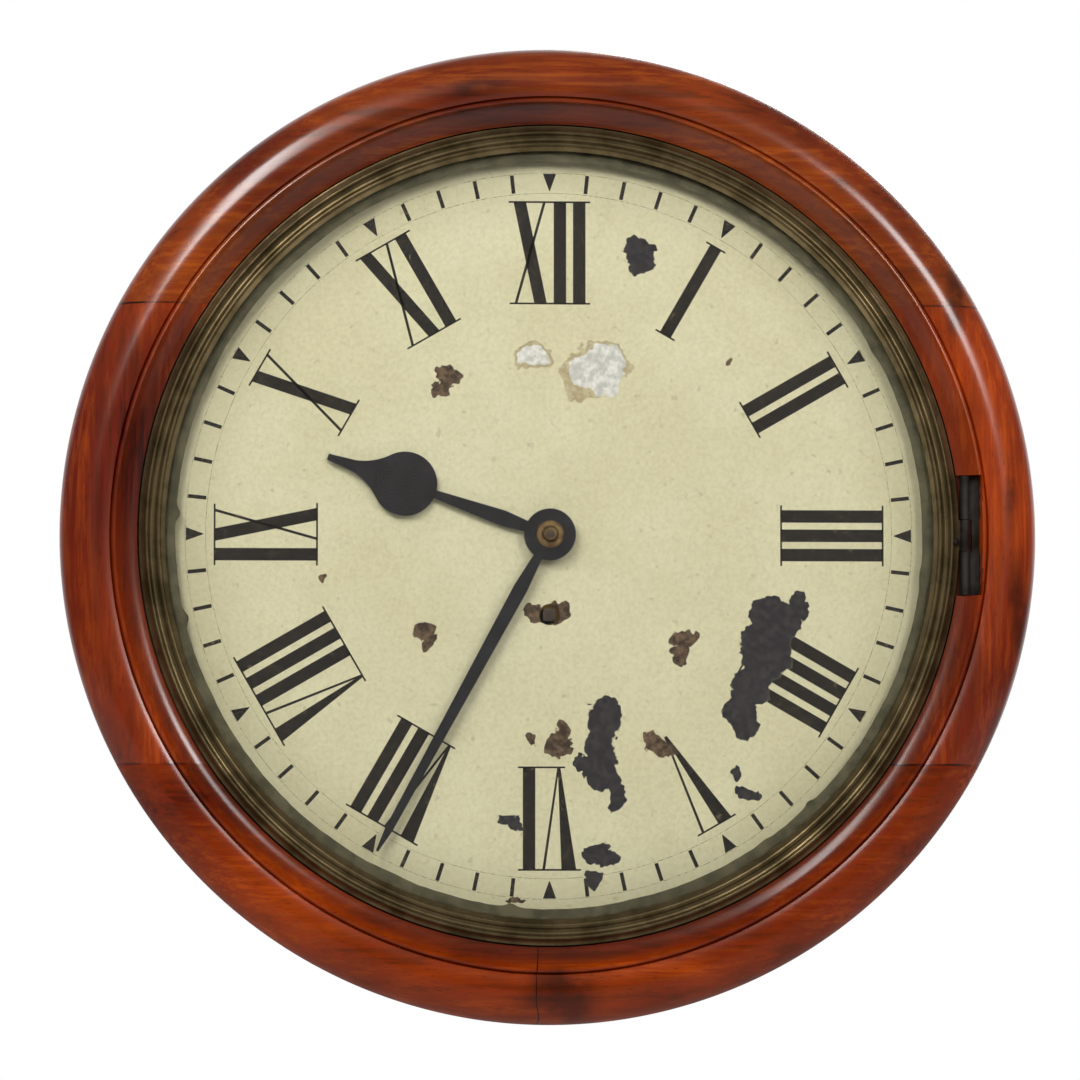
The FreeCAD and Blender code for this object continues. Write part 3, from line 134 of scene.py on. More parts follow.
def grid_faces(rows, columns, wrap_rows=False, wrap_columns=False):
    """Quads of a grid whose point (i, j) has the number i * columns + j."""
    i, j = np.meshgrid(np.arange(rows if wrap_rows else rows - 1),
                       np.arange(columns if wrap_columns else columns - 1), indexing="ij")
    below = (i + 1) % rows
    beside = (j + 1) % columns
    corners = (i * columns + j, below * columns + j, below * columns + beside, i * columns + beside)
    return np.stack(corners, axis=-1).reshape(-1, 4)


def profile_of(corners, pitch):
    """Points round a closed section of (radius, depth) corners.

    A corner with a third number starts an arc: its radius is that number times half the chord, and
    it bulges to the left of the way round, or to the right if the number is negative."""
    pieces = []
    for index, corner in enumerate(corners):
        here = np.array(corner[:2], float)
        chord = np.array(corners[(index + 1) % len(corners)][:2], float) - here
        length = np.hypot(*chord)
        share = np.arange(max(1, math.ceil(length / pitch))) / max(1, math.ceil(length / pitch))
        if len(corner) == 2:
            pieces.append(here + share[:, None] * chord)
            continue
        along = chord / length
        out = np.array((-along[1], along[0])) * np.sign(corner[2])
        radius = abs(corner[2]) * length / 2
        half = math.asin(1 / abs(corner[2]))
        turn = (2 * share - 1) * half
        centre = here + chord / 2 - out * radius * math.cos(half)
        pieces.append(centre + radius * (np.sin(turn)[:, None] * along + np.cos(turn)[:, None] * out))
    return np.concatenate(pieces)


def turned(profile, angles):
    """Section carried round the dial's axis: (r sin a, depth, r cos a), one row of angles per point."""
    radius, depth = profile[:, :1], profile[:, 1:]
    return np.stack([radius * np.sin(angles), depth + 0 * angles, radius * np.cos(angles)], axis=-1)


def whole_ring(profile, columns):
    """A section turned right round in equal steps."""
    angles = np.tile(np.arange(columns) * 2 * math.pi / columns, (len(profile), 1))
    return turned(profile, angles), grid_faces(len(profile), columns, True, True)


def ripple(angles, seed, waves):
    """Uneven wave of unit size round the dial: sines of whole counts with seeded phases, averaged."""
    phases = np.random.default_rng(seed).uniform(0, 2 * math.pi, len(waves))
    return np.mean([np.sin(count * angles + phase) for count, phase in zip(waves, phases)], axis=0)


# Material making

def tone_of(red, green, blue):
    """Linear colour with full alpha from the eight-bit values seen on screen."""
    seen = np.array((red, green, blue)) / 255
    linear = np.where(seen <= 0.04045, seen / 12.92, ((seen + 0.055) / 1.055) ** 2.4)
    return (*linear.tolist(), 1.0)


def put(tree, kind, inputs, **settings):
    """A node with its settings made and its inputs set or linked."""
    made = tree.nodes.new(kind)
    for key, setting in settings.items():
        setattr(made, key, setting)
    for key, source in inputs.items():
        if isinstance(source, bpy.types.NodeSocket):
            tree.links.new(source, made.inputs[key])
        else:
            made.inputs[key].default_value = source
    return made


def calculate(tree, operation, *sources):
    """The number that a math node puts out."""
    return put(tree, "ShaderNodeMath", dict(enumerate(sources)), operation=operation).outputs[0]


def mixed(tree, factor, first, second):
    """The first colour where the factor is 0, the second where it is 1."""
    return put(tree, "ShaderNodeMix", {0: factor, 6: first, 7: second}, data_type="RGBA").outputs[2]


def eased(tree, source, low, high):
    """0 below low, 1 above high and smooth between; low above high turns it round."""
    made = put(tree, "ShaderNodeMapRange", {"Value": source, "From Min": low, "From Max": high},
               interpolation_type="SMOOTHSTEP")
    return made.outputs[0]


def ranged(tree, source, low, high):
    """A mask of 0 to 1 stretched in a straight line to run from low to high."""
    return put(tree, "ShaderNodeMapRange", {"Value": source, "To Min": low, "To Max": high}).outputs[0]


def vector_math(tree, operation, *sources):
    """The vector that a vector math node puts out."""
    return put(tree, "ShaderNodeVectorMath", dict(enumerate(sources)), operation=operation).outputs[0]


def scaled(tree, vector, factors):
    """A vector with each part multiplied by its own factor."""
    return vector_math(tree, "MULTIPLY", vector, factors)


def length_of(tree, vector):
    """The length of a vector."""
    return put(tree, "ShaderNodeVectorMath", {0: vector}, operation="LENGTH").outputs["Value"]


def axis_distance(tree, vector):
    """Distance from the dial's axis, which runs along Y."""
    return length_of(tree, scaled(tree, vector, (1, 0, 1)))


def noise(tree, vector, scale, detail=3.0, roughness=0.55, output=0):
    """Cloudy noise as a number, or as a colour of three such numbers if output is "Color"."""
    inputs = {"Vector": vector, "Scale": scale, "Detail": detail, "Roughness": roughness}
    return put(tree, "ShaderNodeTexNoise", inputs).outputs[output]


def new_group(name, inputs, outputs):
    """An empty shader group with its sockets, and its input and output nodes."""
    group = bpy.data.node_groups.new(name, "ShaderNodeTree")
    for label, kind in inputs:
        group.interface.new_socket(label, in_out="INPUT", socket_type=kind)
    for label, kind in outputs:
        group.interface.new_socket(label, in_out="OUTPUT", socket_type=kind)
    return group, group.nodes.new("NodeGroupInput"), group.nodes.new("NodeGroupOutput")


def use_group(tree, group, inputs):
    """The outputs of a group that is placed in a material or in another group."""
    return put(tree, "ShaderNodeGroup", inputs, node_tree=group).outputs


def new_finish(name, **values):
    """A material with one principled shader, its plain values set on the shader."""
    finish = bpy.data.materials.new(name)
    finish.use_nodes = True
    tree = finish.node_tree
    shader = tree.nodes["Principled BSDF"]
    for key, number in values.items():
        shader.inputs[key.replace("_", " ")].default_value = number
    place = put(tree, "ShaderNodeTexCoord", {}).outputs["Object"]
    return finish, tree, shader, place


def bump(tree, shader, height, distance, strength):
    """A height in the material, joined to the shader's normal."""
    made = put(tree, "ShaderNodeBump", {"Height": height, "Distance": distance, "Strength": strength})
    tree.links.new(made.outputs[0], shader.inputs["Normal"])


COLOUR = "NodeSocketColor"
NUMBER = "NodeSocketFloat"
VECTOR = "NodeSocketVector"


def make_wood_figure():
    """Grain along X: bent bands, long streaks and short dark pores, as colour and height.

    Broad clouds go by place, so that they run on from one board to the next."""
    inputs = [("Vector", VECTOR), ("Place", VECTOR), ("Dark", COLOUR), ("Middle", COLOUR), ("Light", COLOUR)]
    outputs = [("Color", COLOUR), ("Roughness", NUMBER), ("Height", NUMBER)]
    group, given, result = new_group("wood_figure", inputs, outputs)
    vector = given.outputs["Vector"]
    clouds = noise(group, given.outputs["Place"], 8.0, 2.0, 0.45)
    bands = noise(group, scaled(group, vector, (6, 75, 75)), 1.0, 4.0, 0.6)
    streaks = noise(group, scaled(group, vector, (22, 480, 480)), 1.0, 4.0, 0.65)
    pores = noise(group, scaled(group, vector, (170, 2400, 2400)), 1.0, 2.0)
    tone = mixed(group, eased(group, bands, 0.36, 0.64), given.outputs["Dark"], given.outputs["Light"])
    tone = mixed(group, eased(group, streaks, 0.40, 0.62), given.outputs["Middle"], tone)
    shade = mixed(group, eased(group, clouds, 0.34, 0.66), given.outputs["Dark"], given.outputs["Light"])
    tone = mixed(group, 0.42, tone, shade)
    pore_mask = eased(group, pores, 0.62, 0.72)
    tone = mixed(group, calculate(group, "MULTIPLY", pore_mask, 0.6), tone, given.outputs["Dark"])
    group.links.new(tone, result.inputs["Color"])
    group.links.new(ranged(group, streaks, 0.24, 0.38), result.inputs["Roughness"])
    height = calculate(group, "SUBTRACT", calculate(group, "MULTIPLY", streaks, 0.35), pore_mask)
    group.links.new(height, result.inputs["Height"])
    return group


WOOD_FIGURE = make_wood_figure()


def make_grime():
    """Uneven tarnish: cloudy patches and fine specks, as two masks and a height."""
    group, given, result = new_group("grime", [("Vector", VECTOR), ("Scale", NUMBER)],
                                     [("Mask", NUMBER), ("Specks", NUMBER), ("Height", NUMBER)])
    scale = given.outputs["Scale"]
    clouds = noise(group, given.outputs["Vector"], scale, 5.0, 0.62)
    specks = noise(group, given.outputs["Vector"], calculate(group, "MULTIPLY", scale, 12), 3.0, 0.6)
    group.links.new(eased(group, clouds, 0.36, 0.66), result.inputs["Mask"])
    group.links.new(eased(group, specks, 0.62, 0.72), result.inputs["Specks"])
    height = calculate(group, "MULTIPLY_ADD", specks, 0.3, clouds)
    group.links.new(height, result.inputs["Height"])
    return group


GRIME = make_grime()


def make_spot():
    """Distance from an ellipse's centre in a front view, 1 at its edge."""
    inputs = [("Vector", VECTOR), ("Centre", VECTOR), ("Shrink", VECTOR), ("Turn", NUMBER)]
    group, given, result = new_group("spot", inputs, [("Distance", NUMBER)])
    moved = vector_math(group, "SUBTRACT", given.outputs["Vector"], given.outputs["Centre"])
    spun = put(group, "ShaderNodeVectorRotate", {"Vector": moved, "Angle": given.outputs["Turn"]},
               rotation_type="Y_AXIS").outputs[0]
    away = length_of(group, scaled(group, spun, given.outputs["Shrink"]))
    group.links.new(away, result.inputs["Distance"])
    return group


SPOT = make_spot()
PIXEL = 0.392  # millimetres on the dial


def spot_distance(tree, vector, centre_pixel, spot):
    """Distance of one listed spot, with its pixels turned into metres from the dial's axis."""
    x, y, wide, tall, turn = spot
    centre = ((x - centre_pixel[0]) * PIXEL * MM, 0.0, (centre_pixel[1] - y) * PIXEL * MM)
    shrink = (1 / (wide * PIXEL * MM), 0.0, 1 / (tall * PIXEL * MM))
    inputs = {"Vector": vector, "Centre": centre, "Shrink": shrink, "Turn": math.radians(turn)}
    return use_group(tree, SPOT, inputs)["Distance"]


RING_CENTRE_PIXEL = (549.3, 535.2)
# Dark places in the ring's wood, in pixels of a front view: centre, half width, half height, turn
RING_STAINS = [
    (559, 1000, 42, 44, 0), (840, 185, 15, 8, -35), (470, 90, 40, 9, 10), (955, 300, 12, 40, 0),
    (1008, 492, 10, 42, 0), (1018, 610, 12, 50, 5),
]


def make_ring_marks_and_shade():
    """Dark marks on the ring: the segments' seams, a fine crack and a few stains, with painted shade on the
    hollow inner slope by the bezel.
    """
    group, given, result = new_group("ring_marks_and_shade", [("Vector", VECTOR)], [("Mask", NUMBER)])
    vector = given.outputs["Vector"]
    x, _, height = put(group, "ShaderNodeSeparateXYZ", {0: vector}).outputs
    wander = noise(group, vector, 60.0)
    off = calculate(group, "SUBTRACT", calculate(group, "ABSOLUTE", height), JOINT_HEIGHT * MM)
    off = calculate(group, "ABSOLUTE", off)
    seam = calculate(group, "MULTIPLY", eased(group, off, 0.0006, 0.0002), eased(group, wander, 0.3, 0.6))
    beside = calculate(group, "MULTIPLY_ADD", calculate(group, "SUBTRACT", wander, 0.5), 0.004, 0.0052)
    beside = calculate(group, "ABSOLUTE", calculate(group, "ADD", x, beside))
    low_down = eased(group, height, -0.14, -0.16)
    crack = calculate(group, "MULTIPLY", eased(group, beside, 0.0004, 0.0001), low_down)
    mask = calculate(group, "MAXIMUM", seam, crack)
    uneven = eased(group, wander, 0.25, 0.65)
    for spot in RING_STAINS:
        distance = spot_distance(group, vector, RING_CENTRE_PIXEL, spot)
        stain = calculate(group, "MULTIPLY", eased(group, distance, 1.3, 0.4), uneven)
        mask = calculate(group, "MAXIMUM", mask, calculate(group, "MULTIPLY", stain, 0.75))
    # Painted shade: the hollow inner slope next to the bezel is darkened towards the dial, where shade falls.
    slope_shade = eased(group, axis_distance(group, vector), (SLOPE_EDGE + 1) * MM, (SLOPE_EDGE - 4) * MM)
    mask = calculate(group, "MAXIMUM", mask, calculate(group, "MULTIPLY", slope_shade, 0.38))
    group.links.new(mask, result.inputs["Mask"])
    return group


RING_MARKS_AND_SHADE = make_ring_marks_and_shade()
VARNISH = (1.0, 0.5, 0.24, 1)  # warm tint of the reflections
# Dark tone of the seams, crack and stains, also used as painted shade on the inner slope.
MARKS_AND_SHADE_DARK = tone_of(34, 9, 3)


def wood_finish(name, along, tones, gloss, offset=0.0, marked=False):
    """Varnished boards with the grain along one axis; the offset moves it so that no two boards match."""
    dark, middle, light = [tone_of(*tone) for tone in tones]
    finish, tree, shader, place = new_finish(name, Specular_IOR_Level=gloss / 2, Specular_Tint=VARNISH,
                                             Coat_Weight=gloss * 1.9, Coat_Roughness=0.2, Coat_IOR=1.8)
    turns = {"x": (0, 0, 0), "z": (0, math.pi / 2, 0)}
    moved = {"Vector": place, "Rotation": turns[along], "Location": (offset, offset / 2, offset / 3)}
    grain = put(tree, "ShaderNodeMapping", moved).outputs[0]
    inputs = {"Vector": grain, "Place": place, "Dark": dark, "Middle": middle, "Light": light}
    figure = use_group(tree, WOOD_FIGURE, inputs)
    grime = use_group(tree, GRIME, {"Vector": place, "Scale": 24.0})
    tone = mixed(tree, calculate(tree, "MULTIPLY", grime["Mask"], 0.3), figure["Color"], dark)
    if marked:
        # Seams, crack and stains, with painted shade on the inner slope, all in one dark tone.
        tone = mixed(tree, use_group(tree, RING_MARKS_AND_SHADE, {"Vector": place})["Mask"], tone, MARKS_AND_SHADE_DARK)
    tree.links.new(tone, shader.inputs["Base Color"])
    tree.links.new(figure["Roughness"], shader.inputs["Roughness"])
    bump(tree, shader, figure["Height"], 0.0001, 0.5)
    return finish


def metal_finish(name, clean, dull, scale, metallic, rough_clean, rough_dull, pitting=0.35):
    """Metal, or putty and cord if metallic is 0, with cloudy tarnish and dull specks."""
    finish, tree, shader, place = new_finish(name, Metallic=metallic, Specular_IOR_Level=0.2)
    grime = use_group(tree, GRIME, {"Vector": place, "Scale": scale})
    clean, dull = tone_of(*clean), tone_of(*dull)
    tone = mixed(tree, grime["Mask"], clean, dull)
    tone = mixed(tree, calculate(tree, "MULTIPLY", grime["Specks"], 0.5), tone, dull)
    tree.links.new(tone, shader.inputs["Base Color"])
    tree.links.new(ranged(tree, grime["Mask"], rough_clean, rough_dull), shader.inputs["Roughness"])
    bump(tree, shader, grime["Height"], 0.00012, pitting)
    return finish


# Dial paint: cream with losses down to primer, rust and iron

DIAL_CENTRE_PIXEL = (547.7, 539.7)
# Places where paint is lost, in pixels of a front view: centre, half width, half height, turn
PALE_SPOTS = [(592, 376, 37, 27, 25), (533, 362, 18, 14, 0)]
PRIMER_SPOTS = [(594, 371, 29, 19, 25), (606, 386, 17, 14, 40), (533, 362, 14, 10, 0)]
RUST_SPOTS = [
    (447, 382, 13, 8, -20), (437, 394, 8, 9, -40), (422, 637, 10, 7, 30), (428, 647, 7, 8, 0),
    (323, 585, 4, 5, 0), (728, 369, 4, 4, 0), (681, 643, 14, 9, 0), (677, 659, 8, 9, 20),
    (655, 750, 17, 11, -25), (557, 751, 15, 12, 0), (560, 736, 6, 10, 0), (529, 742, 5, 5, 0),
    (534, 617, 10, 11, 0), (562, 616, 9, 10, 0), (548, 618, 18, 13, 0), (515, 905, 8, 4, 0),
]
IRON_SPOTS = [
    (638, 260, 14, 22, 15), (603, 722, 19, 22, 0), (600, 764, 19, 32, 0), (614, 796, 9, 20, -8),
    (582, 768, 10, 9, 0), (606, 706, 11, 8, 0), (772, 622, 24, 20, -15), (797, 612, 10, 14, 0),
    (764, 655, 26, 30, 20), (750, 690, 20, 22, 0), (741, 720, 16, 26, 22), (599, 860, 20, 9, 0),
    (592, 884, 9, 10, 0), (747, 800, 11, 7, 0), (736, 782, 5, 8, 0), (508, 827, 12, 8, -10),
]


def make_dial_losses():
    """Colour and mask of the lost paint: ellipses on a warped plane, joined by their least distance."""
    outputs = [("Color", COLOUR), ("Mask", NUMBER)]
    group, given, result = new_group("dial_losses", [("Vector", VECTOR)], outputs)
    vector = given.outputs["Vector"]
    warped = vector
    for scale, reach in ((130.0, 0.009), (480.0, 0.0035)):
        cloud = noise(group, vector, scale, 2.0, 0.5, "Color")
        drift = scaled(group, vector_math(group, "SUBTRACT", cloud, (0.5, 0.5, 0.5)), (reach, 0, reach))
        warped = vector_math(group, "ADD", warped, drift)
    grain = noise(group, vector, 420.0, 4.0, 0.6)
    tone = tone_of(190, 178, 140)
    mask = 0.0
    for spots, dark, light in ((PALE_SPOTS, (176, 160, 122), (200, 190, 152)),
                               (PRIMER_SPOTS, (196, 196, 186), (236, 235, 228)),
                               (RUST_SPOTS, (62, 50, 40), (116, 96, 74)),
                               (IRON_SPOTS, (46, 43, 46), (66, 62, 62))):
        nearest = 9.0
        for spot in spots:
            distance = spot_distance(group, warped, DIAL_CENTRE_PIXEL, spot)
            nearest = calculate(group, "MINIMUM", nearest, distance)
        here = eased(group, nearest, 1.03, 0.97)
        body = mixed(group, eased(group, grain, 0.35, 0.68), tone_of(*dark), tone_of(*light))
        tone = mixed(group, here, tone, body)
        mask = calculate(group, "MAXIMUM", mask, here)
    group.links.new(tone, result.inputs["Color"])
    group.links.new(mask, result.inputs["Mask"])
    return group


DIAL_LOSSES = make_dial_losses()
OLD_STAIN = tone_of(150, 134, 96)
BARE_CREAM = tone_of(190, 182, 142)
# Tone of the painted shade round the dial's edge, under the bezel and putty.
RIM_SHADE = tone_of(160, 153, 122)


def dial_finish(name, light, dark, worn):
    """Paint on the dial, mottled and finely cracked, with the losses cut through it.

    If worn is above 0 it is print that has rubbed off in specks to the cream below. If it is 0 it is
    the ground itself, darkened towards the edge by painted shade where the bezel and putty overhang it."""
    finish, tree, shader, place = new_finish(name, Specular_IOR_Level=0.15)
    clouds = use_group(tree, GRIME, {"Vector": place, "Scale": 18.0})
    cells = put(tree, "ShaderNodeTexVoronoi", {"Vector": place, "Scale": 260.0}, feature="DISTANCE_TO_EDGE")
    cracks = calculate(tree, "MULTIPLY", eased(tree, cells.outputs[0], 0.04, 0.0), 0.1)
    mottle = eased(tree, noise(tree, place, 650.0, 3.0, 0.6), 0.35, 0.7)
    shade = calculate(tree, "MULTIPLY_ADD", mottle, 0.5, calculate(tree, "MULTIPLY", clouds["Mask"], 0.4))
    tone = mixed(tree, shade, tone_of(*light), tone_of(*dark))
    tone = mixed(tree, calculate(tree, "MULTIPLY", clouds["Specks"], 0.34), tone, OLD_STAIN)
    tone = mixed(tree, cracks, tone, OLD_STAIN)
    if worn:
        rubbed = noise(tree, place, 900.0, 5.0, 0.7)
        tone = mixed(tree, eased(tree, rubbed, 0.70 - worn, 0.74 - worn), tone, BARE_CREAM)
    else:
        # Painted shade: the cream darkens towards its edge, where the bezel and putty overhang the dial.
        rim_shade = calculate(tree, "MULTIPLY", eased(tree, axis_distance(tree, place), 0.118, 0.15), 0.4)
        tone = mixed(tree, rim_shade, tone, RIM_SHADE)
    losses = use_group(tree, DIAL_LOSSES, {"Vector": place})
    tone = mixed(tree, losses["Mask"], tone, losses["Color"])
    tree.links.new(tone, shader.inputs["Base Color"])
    tree.links.new(ranged(tree, losses["Mask"], 0.42, 0.75), shader.inputs["Roughness"])
    height = calculate(tree, "SUBTRACT", calculate(tree, "MULTIPLY", clouds["Height"], 0.12), losses["Mask"])
    bump(tree, shader, height, 0.00025, 0.6)
    return finish


# Finishes of this clock, with tones as eight-bit values: dark, middle and light for wood, and clean and
# dull for metal, which also have the size of the tarnish, metallic, and the roughness of clean and dull

RED_TONES = ((72, 11, 1), (146, 44, 2), (202, 92, 6))
SIDE_TONES = ((72, 9, 1), (150, 37, 1), (210, 82, 3))
DEEP_TONES = ((70, 10, 1), (146, 39, 1), (206, 82, 4))
CASE_TONES = ((66, 24, 11), (112, 48, 21), (146, 72, 34))
PINE_TONES = ((112, 76, 42), (150, 110, 66), (178, 140, 92))
mahogany_top = wood_finish("mahogany_top", "x", RED_TONES, 0.4, 0.0, True)
mahogany_bottom = wood_finish("mahogany_bottom", "x", DEEP_TONES, 0.2, 0.7, True)
mahogany_left = wood_finish("mahogany_left", "z", SIDE_TONES, 0.4, 1.4, True)
mahogany_right = wood_finish("mahogany_right", "z", SIDE_TONES, 0.4, 2.3, True)
board_level = wood_finish("board_level", "x", CASE_TONES, 0.15)
board_upright = wood_finish("board_upright", "z", CASE_TONES, 0.15)
softwood = wood_finish("softwood", "z", PINE_TONES, 0.1)
old_brass = metal_finish("old_brass", (132, 114, 80), (86, 73, 47), 60.0, 0.8, 0.3, 0.4, 0.1)
clock_brass = metal_finish("clock_brass", (196, 160, 86), (140, 106, 52), 40.0, 0.95, 0.26, 0.42)
collet_brass = metal_finish("collet_brass", (118, 98, 62), (84, 60, 38), 260.0, 0.6, 0.45, 0.6)
steel = metal_finish("steel", (170, 170, 172), (112, 108, 104), 60.0, 0.95, 0.28, 0.45)
old_steel = metal_finish("old_steel", (78, 68, 58), (44, 36, 30), 200.0, 0.6, 0.45, 0.6)
iron = metal_finish("iron", (70, 66, 62), (46, 38, 32), 80.0, 0.6, 0.5, 0.7)
hand_black = metal_finish("hand_black", (26, 24, 26), (17, 15, 15), 120.0, 0.0, 0.45, 0.6)
dial_cream = dial_finish("dial_cream", (224, 220, 184), (207, 200, 160), 0.0)
dial_ink = dial_finish("dial_ink", (22, 18, 15), (36, 29, 22), 0.02)
faded_ink = dial_finish("faded_ink", (70, 62, 52), (90, 80, 64), 0.24)
putty_grey = metal_finish("putty_grey", (92, 87, 62), (66, 62, 43), 120.0, 0.0, 0.6, 0.8)
gut_line = metal_finish("gut_line", (170, 138, 90), (120, 92, 54), 300.0, 0.0, 0.5, 0.7)


def glass_finish():
    """Clear glass that lets light through to what is behind it."""
    finish, tree, shader, place = new_finish("clear_glass", IOR=1.2, Transmission_Weight=1.0)
    shader.inputs["Base Color"].default_value = (0.985, 0.98, 0.965, 1)
    smears = use_group(tree, GRIME, {"Vector": place, "Scale": 9.0})
    tree.links.new(ranged(tree, smears["Mask"], 0.0, 0.03), shader.inputs["Roughness"])
    shadow = put(tree, "ShaderNodeLightPath", {}).outputs["Is Shadow Ray"]
    through = put(tree, "ShaderNodeBsdfTransparent", {"Color": (0.97, 0.965, 0.955, 1)})
    either = put(tree, "ShaderNodeMixShader", {0: shadow, 1: shader.outputs[0], 2: through.outputs[0]})
    tree.links.new(either.outputs[0], tree.nodes["Material Output"].inputs["Surface"])
    return finish


clear_glass = glass_finish()


# Wooden surround

CATCH_NEAR, CATCH_FAR = 158.68, 160.72
# Round the section from the bore: back, outer round, groove, bead, hollow slope, recess and seat
SURROUND_SECTION = [
    (BORE, BOX_FRONT),
    (RING_EDGE - 8, BOX_FRONT, -1.6),
    (RING_EDGE, BOX_FRONT + 12, -1.4),
    (GROOVE_EDGE, SLOPE_TOP - 1.25),
    (GROOVE_EDGE - 0.5, SLOPE_TOP - 2.5),
    (BEAD_EDGE, SLOPE_TOP - 0.6, -1.5),
    (SLOPE_EDGE, SLOPE_TOP, 2.4),
    (RECESS, SEAT_DEPTH + 6),
    (RECESS, SEAT_DEPTH),
    (CATCH_FAR + 0.03, SEAT_DEPTH),
    (CATCH_FAR - 0.02, SEAT_DEPTH),
    (CATCH_NEAR + 0.02, SEAT_DEPTH),
    (CATCH_NEAR - 0.03, SEAT_DEPTH),
    (BORE, SEAT_DEPTH),
]
# Pockets in the ring: least and greatest x, half height and floor depth
HINGE_POCKET = (150, 169, 23.6, HINGE_FLOOR)
CATCH_POCKET = (-CATCH_FAR, -CATCH_NEAR, 4.6, SEAT_DEPTH - 7.2)
SECTION_PITCH = 0.7
LEVEL_COLUMNS = 260
POCKET_GAP = 0.05


def sunk(points, pocket):
    """The points that lie over a pocket, let down to its floor."""
    least, most, half, floor = pocket
    x, depth, height = points[..., 0], points[..., 1], points[..., 2]
    inside = (x > least) & (x < most) & (np.abs(height) < half) & (depth > floor)
    points[..., 1] = np.where(inside, floor, depth)
    return points


def level_segment(name, side, finish):
    """Top or bottom of the ring: each section point runs between its two crossings of the joint's height."""
    profile = profile_of(SURROUND_SECTION, SECTION_PITCH)
    reach = np.arccos(JOINT_HEIGHT / profile[:, :1])
    middle = 0 if side > 0 else math.pi
    angles = middle + reach * np.linspace(-1, 1, LEVEL_COLUMNS)
    faces = grid_faces(len(profile), LEVEL_COLUMNS, wrap_rows=True)
    make_piece(name + "_wood", turned(profile, angles), faces, "case", finish, [name], capped=True)


def upright_segment(name, side, pocket, finish):
    """Left or right of the ring: angle arccos(height / radius), with columns at the pocket's edges."""
    profile = profile_of(SURROUND_SECTION, SECTION_PITCH)
    half = pocket[2]
    end = JOINT_HEIGHT - GLUE_GAP
    heights = np.concatenate([np.linspace(end, half + POCKET_GAP, 50),
                              np.linspace(half - POCKET_GAP, -half + POCKET_GAP, 28),
                              np.linspace(-half - POCKET_GAP, -end, 50)])
    angles = side * np.arccos(heights / profile[:, :1])
    points = sunk(turned(profile, angles), pocket)
    faces = grid_faces(len(profile), len(heights), wrap_rows=True)
    make_piece(name + "_wood", points, faces, "case", finish, [name], capped=True)


level_segment("surround_top", 1, mahogany_top)
level_segment("surround_bottom", -1, mahogany_bottom)
upright_segment("surround_right", 1, HINGE_POCKET, mahogany_right)
upright_segment("surround_left", -1, CATCH_POCKET, mahogany_left)


# Bezel, glass and putty

def make_bezel():
    """A brass ring: its section goes from the outer edge over rounds and a hollow to the lip and rebate."""
    width = BEZEL_EDGE - SIGHT
    section = [
        (BEZEL_EDGE, BEZEL_BACK), (BEZEL_EDGE, RIM, 2),
        (BEZEL_EDGE - width * 0.24, RIM + 2.8, -1.1),
        (BEZEL_EDGE - width * 0.36, RIM + 2.52, 1.15),
        (BEZEL_EDGE - width * 0.64, RIM + 2.25, -1.1),
        (BEZEL_EDGE - width * 0.84, RIM + 2.4),
        (SIGHT, LIP + 1), (SIGHT, LIP), (REBATE, LIP), (REBATE, BEZEL_BACK),
    ]
    points, faces = whole_ring(profile_of(section, 0.3), 720)
    make_piece("bezel_brass", points, faces, "bezel", old_brass, ["bezel_ring"])


def make_glass():
    """Two shallow caps of one rise, joined at the edge."""
    edge = REBATE - 0.3
    rise = 9
    front = GLASS_BACK + 2
    swell = math.hypot(edge, rise) / rise
    section = [(0, GLASS_BACK + rise, swell), (edge, GLASS_BACK), (edge, front, -swell), (0, front + rise)]
    points, faces = whole_ring(profile_of(section, 4), 240)
    make_piece("domed_glass", points, faces, "bezel", clear_glass, ["dial_glass"])


# Lumps where the putty spreads inwards: degrees clockwise from twelve, reach and half width in degrees
PUTTY_LUMPS = [
    (273, 1.5, 0.9), (257, 1.6, 1.0), (186, 1.4, 0.9), (136, 1.1, 0.8), (145, 0.5, 1.0), (60, 0.5, 2.0),
    (96, 0.6, 1.5), (205, 0.5, 2.5), (318, 0.4, 3.0),
]


def make_putty():
    """Triangular fillet whose inner edge wanders: waves and bell-shaped lumps stretch its width."""
    columns = 900
    width, depth = 6, 2.8
    top = GLASS_BACK - 0.1
    outer = REBATE - 0.1
    profile = profile_of([(outer, top - depth), (outer, top), (outer - width, top)], 0.5)
    angles = np.arange(columns) * 2 * math.pi / columns
    spread = 1 + 0.05 * ripple(angles, 3, (5, 9, 14, 23, 37))
    spread += 0.02 * ripple(angles, 4, (61, 88, 127, 170))
    for at, reach, half in PUTTY_LUMPS:
        off = (np.degrees(angles) - at + 180) % 360 - 180
        spread += reach / width * np.exp(-(off / half) ** 2)
    points = turned(profile, np.tile(angles, (len(profile), 1)))
    radius = outer - (outer - profile[:, :1]) * spread
    points[..., 0] = radius * np.sin(angles)
    points[..., 2] = radius * np.cos(angles)
    faces = grid_faces(len(profile), columns, True, True)
    make_piece("putty_fillet", points, faces, "bezel", putty_grey, ["glass_putty"])


make_bezel()
make_glass()
make_putty()


# Printing on the dial

FEET_RADIUS, HEAD_RADIUS = 91.0, 131.0
STROKE, PITCH, HAIR, BAR, OVERHANG = 4.9, 7.6, 1.1, 0.7, 1.9
